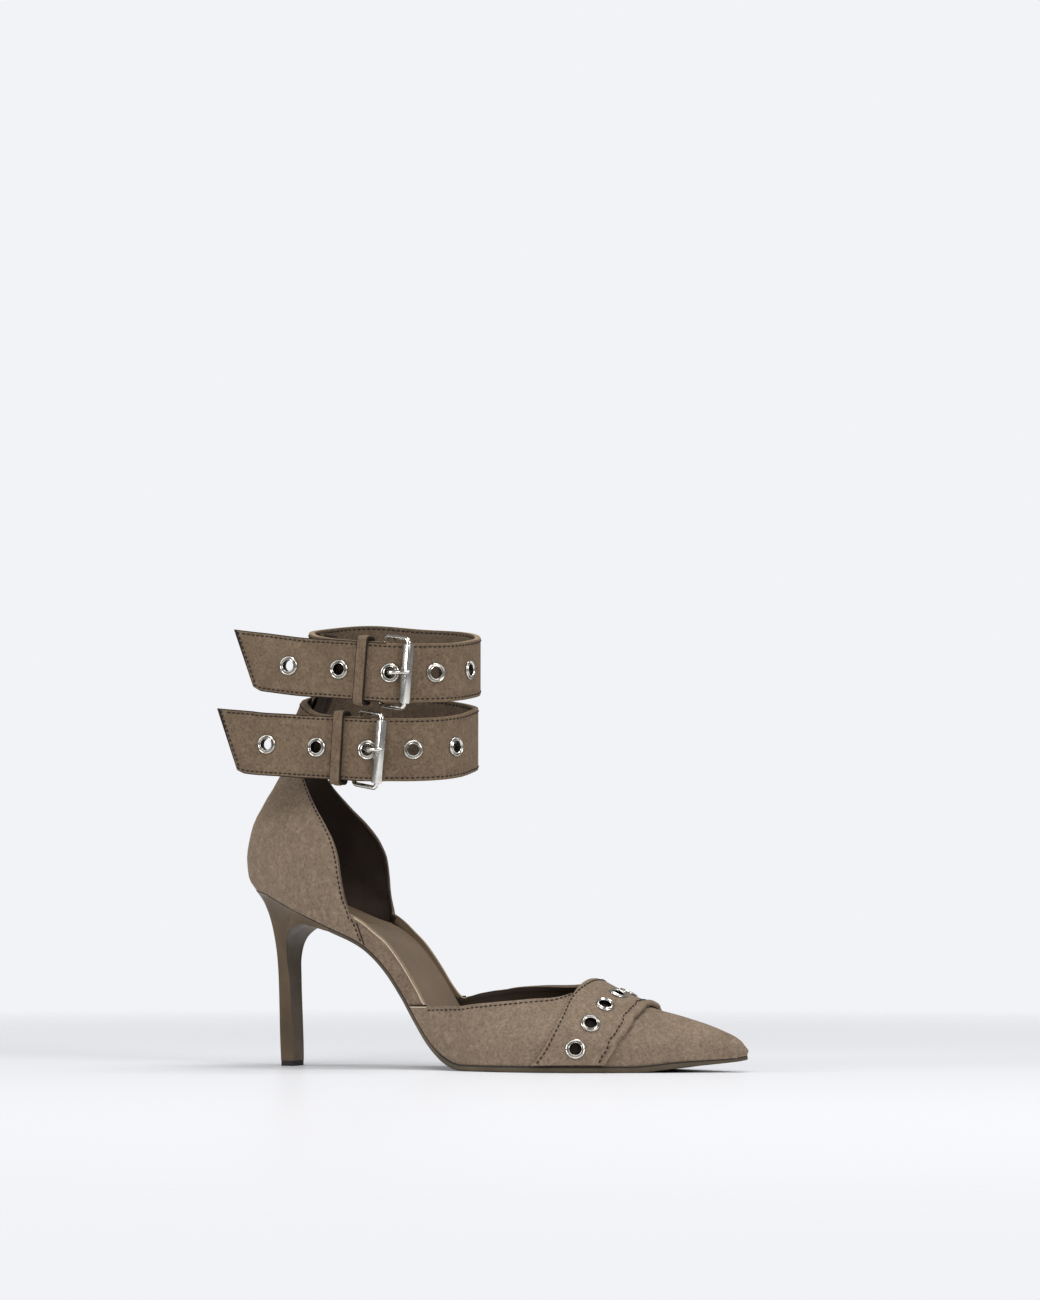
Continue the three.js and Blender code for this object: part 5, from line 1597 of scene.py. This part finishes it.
@dataclass
class Band:
    """The studded band over the vamp: folded front edge, stitched edges and eight eyelets."""

    gap: float = 0.75
    thickness: float = 1.4
    hem: float = 0.015
    pitch: float = 13.5
    per_side: int = 4
    fold_width: float = 3.4
    seam_inset: float = 1.9

    def __post_init__(self) -> None:
        """Turns the edges into curves."""
        self.rear = follow(BAND_EDGES, "over", "rear")
        self.front = follow(BAND_EDGES, "over", "front")

    def on(self, over: float, x: float, side: int, level: float) -> tuple[Vector, Vector]:
        """A point above the upper at a distance from the back, and the normal there."""
        low, high = 0.0, 13.0
        for _ in range(22):
            half = (low + high) / 2
            if LAST.upper_point(half, over, side).x > x:
                low = half
            else:
                high = half
        step = 0.02
        ahead, behind = LAST.upper_point(low - step, over, side), LAST.upper_point(low + step, over, side)
        normal = Vector((behind.z - ahead.z, 0, ahead.x - behind.x))
        if over < 1:
            above = LAST.upper_point(low, min(1, over + step), side)
            up = above - LAST.upper_point(low, max(0, over - step), side)
            normal = (behind - ahead).cross(up)
            if normal.y * side < 0:
                normal = -normal
        normal.normalize()
        return LAST.upper_point(low, over, side) + normal * level, normal

    def edges(self, over: float) -> tuple[float, float]:
        """Where the band starts and ends along the shoe, with the front edge's gentle waves."""
        wave = 0.35 * math.sin(over * 19) + 0.22 * math.sin(over * 41 + 1)
        return self.rear(over) * LAST.length, self.front(over) * LAST.length + wave

    def fold(self, over: float) -> float:
        """Width of the turned front edge: widest over the ridge."""
        return mix(1.9, self.fold_width, smooth(over / 0.7))

    def ring(self, over: float, side: int) -> list[Vector]:
        """The band's section at one place over the foot."""
        rear, front = self.edges(over)
        width = front - rear
        top = [(0.0, 0.25), (0.0, 0.8), (0.3, 1.0), (1.2, 1.0), (self.seam_inset, 0.88),
               (2.6, 1.0), (4.5, 1.0)]
        top += [(width * share, 1.0) for share in (0.3, 0.42, 0.54, 0.66)]
        crest = width - self.fold(over)
        top += [(crest - 3.2, 1.0), (crest - 1.4, 0.95), (crest - 0.5, 0.8), (crest, 1.05),
                (crest + 0.6, 1.5), (crest + 1.5, 1.72), (width - 1.1, 1.62), (width - 0.35, 1.3),
                (width - 0.05, 0.8), (width, 0.4)]
        under = [(width - 0.3, 0.0), *((width * share, 0.0) for share in (0.75, 0.5, 0.25)), (0.3, 0.0)]
        ripple = 0.12 * math.sin(over * 23 + 2)
        points = []
        for distance, height in top + under:
            lift = height * self.thickness + (ripple * clamp((distance - 3) / 8) if height > 0.5 else 0)
            points.append(self.on(over, rear + distance, side, self.gap + lift)[0])
        return points

    def spots(self) -> list[tuple[Vector, Vector, int]]:
        """Middles, normals and sides of the eyelets, spaced evenly from the ridge down each side."""
        found = []
        level = self.gap + self.thickness / 2
        for side in (-1, 1):
            travelled, placed, before, over = 0.0, 0, None, 1.0
            while over > self.hem and placed < self.per_side:
                x = LAST.length * mix(self.rear(over), self.front(over), 0.5)
                point, normal = self.on(over, x, side, level)
                travelled += (point - before).length if before else 0
                if travelled > (placed + 0.5) * self.pitch:
                    found.append((point, normal, side))
                    placed += 1
                before, over = point, over - 0.005
        return found

    def seam(self, from_front: bool) -> list[Stitch]:
        """The stitches along one edge."""
        line = []
        for side, overs in ((-1, spread(0.03, 1, 60)), (1, spread(1, 0.03, 60)[1:])):
            for over in overs:
                rear, front = self.edges(over)
                x = front - self.fold(over) - 1.2 if from_front else rear + self.seam_inset
                line.append(self.on(over, x, side, self.gap + self.thickness * 0.95))
        return stitches_along(line)

    def make(self) -> list[bpy.types.Object]:
        """Makes the band, its stitches and its eyelets."""
        overs = spread(self.hem, 1, 64)
        rings = [self.ring(over, -1) for over in overs]
        rings += [self.ring(over, 1) for over in reversed(overs[:-1])]
        band = tube("vamp_band_suede", rings)
        spots = self.spots()
        bore(band, [(place, normal) for place, normal, _ in spots], EYELET.barrel / 2 - 0.1, 6)
        dress(band, 50, "band_suede", "vamp_band", Finish.SUEDE)
        made = [band, sew_seams("vamp_band_seams", self.seam(False) + self.seam(True), "band_suede")]
        for number, (place, normal, side) in enumerate(spots):
            node = f"band_eyelet_{'outer' if side < 0 else 'inner'}_{number % self.per_side + 1}"
            ring = EYELET.make(f"{node}_ring", self.thickness, place, normal)
            # A dark disc under each hole: painted shade seen through the eyelet.
            back = lathe("back", [(0.01, -0.9), (2.9, -0.9), (2.9, -0.7), (0.01, -0.7)], place, normal, 24)
            paint(back, Finish.HOLE_SHADE)
            eyelet = join(f"{node}_ring", [ring, back])
            settle(eyelet, "nickel", node)
            made.append(eyelet)
        return made


@dataclass
class AnkleStrap:
    """One ankle strap with its eyelets, buckle, roller, prong and keeper.

    Its last sections along the length have dark edges, partly dyed and partly painted shadow. The faces of
    the keeper's profile at its two cut edges are listed as well; they are painted dark as painted shade.
    """

    strap: Strap
    edge: float = 0.45
    seam_inset: float = 1.5
    groove: float = 0.14
    tip: float = 0.8
    fold_steps: int = 14
    dark_edged_sections: int = 46
    prong: float = 2.2
    frame_corner: float = 2.1
    keeper_width: float = 5.4
    keeper_thick: float = 1.6
    keeper_shaded_edge_faces: tuple[int, ...] = (0, 1, 10, 11, 12)

    @property
    def bar_z(self) -> float:
        """Height of the middle of the buckle's bar."""
        x, y = self.strap.bar
        return self.strap.z(x, y - self.strap.fold)

    def section(self) -> list[tuple[float, float]]:
        """The strap's section: distance out and height, going round from the lower inner edge."""
        t, w, e, s = self.strap.thickness / 2, self.strap.width / 2, self.edge, self.seam_inset
        face = [(t - e, w), (t - 0.12, w - 0.12), (t, w - e), (t, w - s + 0.45), (t - self.groove, w - s),
                (t, w - s - 0.5), (t, w * 0.62), (t, w * 0.31), (t, 0)]
        outer = face + [(out, -height) for out, height in reversed(face[:-1])]
        inner = [(-out, height) for out, height in reversed(outer)]
        return outer + inner

    def stations(self) -> list[tuple[Vector, Vector, Vector]]:
        """Point, outward direction and up direction of each section, from the fold to the tip."""
        strap = self.strap
        (bar_x, bar_y), up = strap.bar, strap.buckle_up
        found = [(Vector((bar_x - 3, bar_y + strap.fold, self.bar_z)), Vector((0, 1, 0)), up)]
        for i in range(self.fold_steps):
            angle = math.pi * (0.5 - i / self.fold_steps)
            out = Vector((math.cos(angle), math.sin(angle), 0))
            found.append((Vector((bar_x, bar_y, self.bar_z)) + out * strap.fold, out, up))
        for length in spread(0, strap.total - self.tip, round(strap.total / 1.6)) + [strap.total]:
            point, out, _, up = strap.at(length)
            cut = Vector((-strap.tail_slant / (strap.width / 2), 0, 1))
            up = up.lerp(cut, clamp(1 - (strap.total - length) / 10))
            free = smooth((length - 30) / 20) * smooth((strap.total - 110 - length) / 20)
            tail = smooth((strap.total - length - 4) / 10) * smooth((length - strap.total + 46) / 14)
            wave = math.sin(length * 0.13 + strap.width) * 0.28 * free + math.sin(length * 0.21) * 0.12 * tail
            found.append((point + out * wave * 0.5 + Vector((0, 0, wave)), out, up))
        return found

    def seam(self) -> list[Stitch]:
        """Stitches inside both edges, on both faces, and across the free end."""
        strap, found = self.strap, []
        t, w = strap.thickness / 2, strap.width / 2 - self.seam_inset
        stations = self.stations()[self.fold_steps + 2:]
        for face in (1, -1):
            for height in (w, -w):
                line = [(point + out * (face * (t - self.groove)) + up * height, out * face)
                        for point, out, up in stations]
                found += stitches_along(line[:-2])
        point, out, up = stations[-1]
        step = Vector((self.seam_inset, 0, 0))
        line = [(point + step + out * t + up * height, out) for height in spread(-w, w, 12)]
        return found + stitches_along(line)

    def make_leather(self) -> list[bpy.types.Object]:
        """Makes the strap itself with its holes and seams."""
        strap = self.strap
        section = self.section()
        rings = [[point + out * off + up * height for off, height in section]
                 for point, out, up in self.stations()]
        half = len(section) // 2
        free = len(rings) - self.dark_edged_sections

        def face_of(i: int, j: int) -> int:
            """Outer face, inner face with painted shade, or cut edge; at the free end the edges and the lines
            near them are dark, partly dyed and partly painted shadow.
            """
            if i >= len(rings) - 2 or (i > free and j in (1, half - 3)):
                return 3
            if j in (0, half - 1, half - 2, len(section) - 1, half, len(section) - 2):
                return 3 if i > free else 2
            return 0 if j < half else 1

        piece = tube(f"strap_{strap.name}_suede", rings, paint=face_of)
        # The end cap at the tip is dark too: partly dyed edge, partly painted shadow.
        for face in piece.data.polygons:
            if len(face.vertices) > 8:
                face.material_index = 3
        paint(piece, Finish.STRAP, Finish.STRAP_INSIDE, Finish.RAW_EDGE, Finish.DARK_EDGE)
        bore(piece, strap.eyelets(), EYELET.barrel / 2 - 0.1, 9)
        reach = (2 * strap.fold + strap.thickness + 2) / 1000
        bar_x, bar_y = strap.bar
        middle = to_frame(Vector((bar_x + 0.4, bar_y, self.bar_z)))
        carve(piece, [box("prong_slot", middle, (reach, reach, (self.prong + 1) / 1000))])
        shade(piece, 40)
        settle(piece, "strap_suede", f"strap_{strap.name}")
        return [piece, sew_seams(f"strap_{strap.name}_seams", self.seam(), "strap_suede")]

    def buckle_frame(self) -> Callable[[float, float, float], Vector]:
        """Places a point given along the buckle, across it and up its bar."""
        strap = self.strap
        (bar_x, bar_y), (x, y) = strap.bar, strap.roller_spot
        turn = Matrix.Rotation(math.atan2(y - bar_y, x - bar_x), 3, "Z")
        tilt = Matrix.Rotation(math.radians(strap.buckle_tilt), 3, "Y")
        origin = Vector((bar_x, bar_y, self.bar_z + 0.4))
        return lambda along, across, up: origin + turn @ (tilt @ Vector((along, across, up)))

    @property
    def reach(self) -> float:
        """Distance from the bar to the roller."""
        return math.hypot(self.strap.buckle_length, self.strap.roller_spot[1] - self.strap.bar[1])

    def make_buckle(self) -> list[bpy.types.Object]:
        """Makes the wire frame, the flat roller and the prong."""
        strap, put = self.strap, self.buckle_frame()
        half = strap.width / 2 + 1.3 + strap.wire / 2
        corner = self.frame_corner
        arcs = corner_arcs((corner, corner - half), (self.reach - corner, half - corner), 6)
        path = [put(x + corner * math.cos(angle), 0, z + corner * math.sin(angle)) for x, z, angle in arcs]
        dense = []
        for i, point in enumerate(path):
            after = path[(i + 1) % len(path)]
            steps = max(1, round((after - point).length / 1.5))
            dense += [point.lerp(after, k / steps) for k in range(steps)]
        side = (put(0, 1, 0) - put(0, 0, 0)).normalized()
        wire = sweep(f"buckle_{strap.name}_frame", dense, strap.wire / 2, side, closed=True, sides=16)
        dress(wire, 60, "nickel", f"buckle_{strap.name}", Finish.METAL)
        return [wire, self.make_roller(put), self.make_prong()]

    def make_roller(self, put: Callable[[float, float, float], Vector]) -> bpy.types.Object:
        """Makes the flat sleeve on the front bar."""
        half = self.strap.width / 2 + 0.1
        wide, deep, corner = 1.35, 0.95, 0.85
        arcs = corner_arcs((self.reach - wide, -deep), (self.reach + wide, deep), 4)
        stations = [[put(x + (corner - shrink) * math.cos(angle), y + (corner - shrink) * math.sin(angle), up)
                     for x, y, angle in arcs]
                    for up, shrink in ((-half, 0.35), (-half + 0.12, 0.1), (-half + 0.4, 0.0),
                                       (half - 0.4, 0.0), (half - 0.12, 0.1), (half, 0.35))]
        roller = tube(f"roller_{self.strap.name}_sleeve", stations)
        return dress(roller, 35, "nickel", f"roller_{self.strap.name}", Finish.METAL)

    def make_prong(self) -> bpy.types.Object:
        """Makes the prong: an eye round the bar, a way out through the eyelet and over the roller."""
        strap = self.strap
        spot = strap.eyelets()[PRONG_EYELET][0]
        (bar_x, bar_y), (roller_x, roller_y) = strap.bar, strap.roller_spot
        radius = self.prong / 2
        eye = strap.wire / 2 + strap.gap + radius
        inside = spot.y + strap.thickness / 2 + strap.gap + radius
        outside = spot.y - strap.thickness / 2 - 1.0 - strap.gap - radius
        over = roller_y - strap.roller / 2 - strap.gap - radius
        turn = 1.4

        def put(x: float, y: float) -> Vector:
            """A point of the prong's middle line."""
            return Vector((x, y, mix(self.bar_z, spot.z, clamp((x - bar_x) / (spot.x - bar_x)))))

        marks = [put(bar_x, bar_y - eye), put(mix(bar_x, spot.x, 0.5), mix(bar_y - eye, inside, 0.7)),
                 put(spot.x - turn, inside), put(spot.x, inside - turn), put(spot.x, outside + turn),
                 put(spot.x + turn, outside), put(mix(spot.x, roller_x, 0.6), mix(outside, over, 0.6)),
                 put(roller_x, over), put(roller_x + 2.4, over + 0.6)]
        path = round_path(marks, 8)

        def flatten(share: float) -> tuple[float, float]:
            """How far the prong's tip narrows and flattens."""
            tip = smooth((share - 0.93) / 0.07)
            return 1 - 0.45 * tip, 1 - 0.5 * tip

        shaft = sweep("shaft", path, radius, Vector((0, 0, 1)), sides=14, squash=flatten)
        ring = [Vector((bar_x + eye * math.cos(a), bar_y + eye * math.sin(a), self.bar_z))
                for a in spread(0, 2 * math.pi, 28)[:-1]]
        loop = sweep("loop", ring, radius, Vector((0, 0, 1)), closed=True, sides=14)
        prong = join(f"prong_{strap.name}_pin", [shaft, loop])
        return dress(prong, 60, "nickel", f"prong_{strap.name}", Finish.METAL)

    def make_keeper(self) -> bpy.types.Object:
        """Makes the folded suede loop with its raised middle and painted shade on its two cut edges."""
        strap = self.strap
        x = strap.bar[0] - strap.keeper_setback
        inner = strap.near_y(x) + strap.thickness / 2 + 0.45
        outer = strap.tail_y(x) - strap.thickness / 2 - 0.45
        half = strap.width / 2 + 0.9
        middle = strap.z(x, (inner + outer) / 2)
        wide, thick = self.keeper_width / 2, self.keeper_thick
        profile = [(-wide, 0.35), (-wide + 0.1, 0.8), (-wide + 0.5, 0.98), (-wide + 1.1, 1.0), (-0.7, 1.06),
                   (-0.3, 1.2), (0, 1.26), (0.3, 1.2), (0.7, 1.06), (wide - 1.1, 1.0), (wide - 0.5, 0.98),
                   (wide - 0.1, 0.8), (wide, 0.35), (wide - 0.4, 0.0), (0, 0.0), (-wide + 0.4, 0.0)]
        corner = 0.8
        stations = []
        for y, z, angle in corner_arcs((outer + corner, corner - half), (inner - corner, half - corner), 6):
            out = Vector((0, math.cos(angle), math.sin(angle)))
            base = Vector((0, y, z)) + out * corner
            stations.append([(base + out * (height * thick), along) for along, height in profile])
        dense = []
        for i, ring in enumerate(stations):
            after = stations[(i + 1) % len(stations)]
            steps = max(1, round((after[0][0] - ring[0][0]).length / 2))
            for k in range(steps):
                dense.append([(a.lerp(b, k / steps), along) for (a, along), (b, _) in zip(ring, after)])
        tilt = Matrix.Rotation(-math.atan(strap.pitch), 3, "Y")
        rings = [[Vector((x, 0, middle)) + tilt @ (point + Vector((along, 0, 0))) for point, along in ring]
                 for ring in dense]
        # The faces at the keeper's two cut edges are painted dark: painted shade.
        keeper = tube(f"keeper_{strap.name}_suede", rings, closed=True,
                      paint=lambda _, j: int(j in self.keeper_shaded_edge_faces))
        return dress(keeper, 45, "strap_suede", f"keeper_{strap.name}", Finish.STRAP, Finish.DARK_EDGE)

    def make(self) -> list[bpy.types.Object]:
        """Makes the strap and everything on it."""
        made = self.make_leather()
        for number, (place, normal) in enumerate(self.strap.eyelets(), 1):
            node = f"strap_eyelet_{self.strap.name}_{number}"
            eyelet = EYELET.make(f"{node}_ring", self.strap.thickness, place, normal)
            settle(eyelet, "nickel", node)
            made.append(eyelet)
        return made + self.make_buckle() + [self.make_keeper()]


def round_path(marks: list[Vector], steps: int) -> list[Vector]:
    """A smooth path through marks that leans towards each next one (centripetal).

    Args:
        marks: The points that it passes.
        steps: Points between two marks.

    Returns:
        The path's points.
    """
    points = [marks[0] * 2 - marks[1], *marks, marks[-1] * 2 - marks[-2]]
    path = []
    for i in range(1, len(points) - 2):
        p = points[i - 1:i + 3]
        knots = [0.0]
        for a, b in zip(p, p[1:]):
            knots.append(knots[-1] + math.sqrt((b - a).length))
        for k in range(steps):
            t = mix(knots[1], knots[2], k / steps)
            a = [p[n].lerp(p[n + 1], (t - knots[n]) / (knots[n + 1] - knots[n])) for n in range(3)]
            b = [a[n].lerp(a[n + 1], (t - knots[n]) / (knots[n + 2] - knots[n])) for n in range(2)]
            path.append(b[0].lerp(b[1], (t - knots[1]) / (knots[2] - knots[1])))
    return path + [marks[-1]]


# The studio

@dataclass(frozen=True)
class Softbox:
    """An area light: where it hangs, where it points, its size and its power."""

    name: str
    place: tuple[float, float, float]
    target: tuple[float, float, float]
    size: float
    power: float


@dataclass
class Studio:
    """The floor, the lights and the camera at the photograph's angle.

    The camera stands away from the place aim_x along the shoe, which the photograph shows in the
    column aim_px. Its horizon lies rise_px below the middle of the picture.
    """

    distance: float = 2100
    azimuth: float = 22
    height: float = 83.2
    focal_px: float = 4599
    width_px: float = 1040
    tall_px: float = 1300
    aim_x: float = 105.1
    aim_px: float = 462
    rise_px: float = 235
    film: float = 36
    air: float = 0.30
    background: float = 0.98
    lights: tuple[Softbox, ...] = (
        Softbox("key_softbox", (0.1, -1.3, 1.5), (0, 0, 0.08), 0.9, 13),
        Softbox("top_softbox", (0.3, 0.2, 1.9), (0, 0, 0.05), 0.9, 22.5),
        Softbox("rim_softbox", (1.4, -0.7, 0.8), (0, 0, 0.09), 0.7, 11),
        Softbox("back_left_softbox", (-1.5, -0.9, 0.6), (-0.1, 0, 0.1), 0.7, 13),
    )

    def make(self) -> None:
        """Builds the studio."""
        bpy.ops.object.select_all(action="DESELECT")
        bpy.ops.mesh.primitive_plane_add(size=4, location=(0, 0, 0))
        floor = bpy.context.object
        floor.name = "studio_floor"
        paint(floor, Finish.FLOOR)
        self.make_air()
        for light in self.lights:
            lamp = bpy.data.lights.new(light.name, "AREA")
            lamp.size = light.size
            lamp.energy = light.power
            hung = bpy.data.objects.new(light.name, lamp)
            bpy.context.scene.collection.objects.link(hung)
            hung.location = light.place
            aim = Vector(light.target) - Vector(light.place)
            hung.rotation_euler = aim.to_track_quat("-Z", "Y").to_euler()
        self.make_camera()

    def make_air(self) -> None:
        """Makes the pale background: the camera sees it brighter than it shines on the shoe."""
        scene = bpy.context.scene
        scene.view_settings.view_transform = "Standard"
        world = bpy.data.worlds.new("studio_air")
        scene.world = world
        world.use_nodes = True
        tree = world.node_tree
        tree.nodes.clear()
        seen = add_node(tree, "LightPath", output="Is Camera Ray")
        strength = add_node(tree, "MapRange", {
            "Value": seen, "From Min": 0, "From Max": 1,
            "To Min": self.air, "To Max": self.background}, "Result", clamp=True)
        air = add_node(tree, "Background", {"Color": linear("#f4f5f9"), "Strength": strength}, "Background")
        add_node(tree, "OutputWorld", {"Surface": air})

    def make_camera(self) -> None:
        """Puts the camera where the photograph was taken."""
        turn = math.radians(self.azimuth)
        back = Vector((math.sin(turn), -math.cos(turn), 0)) * self.distance
        place = Vector((self.aim_x, 0, self.height)) + back
        heading = turn + math.atan((self.aim_px - self.width_px / 2) / self.focal_px)
        pitch = math.atan(self.rise_px / self.focal_px)
        level = math.cos(pitch)
        view = Vector((-math.sin(heading) * level, math.cos(heading) * level, math.sin(pitch)))
        data = bpy.data.cameras.new("photo_camera")
        data.sensor_width = self.film
        data.lens = self.focal_px / max(self.tall_px, self.width_px) * self.film
        data.clip_end = 50
        camera = bpy.data.objects.new("photo_camera", data)
        bpy.context.scene.collection.objects.link(camera)
        camera.location = to_frame(place)
        camera.rotation_euler = view.to_track_quat("-Z", "Y").to_euler()
        bpy.context.scene.camera = camera


UPPER = Upper()
SOLE = Sole()


def main() -> None:
    """Makes every piece of the shoe and the studio round it."""
    logging.basicConfig(level=logging.INFO, format="%(name)s: %(message)s")
    Studio().make()
    UPPER.make()
    SOLE.make()
    Heel().make()
    Band().make()
    for strap in (UPPER_STRAP, LOWER_STRAP):
        AnkleStrap(strap).make()
    bpy.ops.object.select_all(action="DESELECT")


if __name__ == "__main__":
    main()
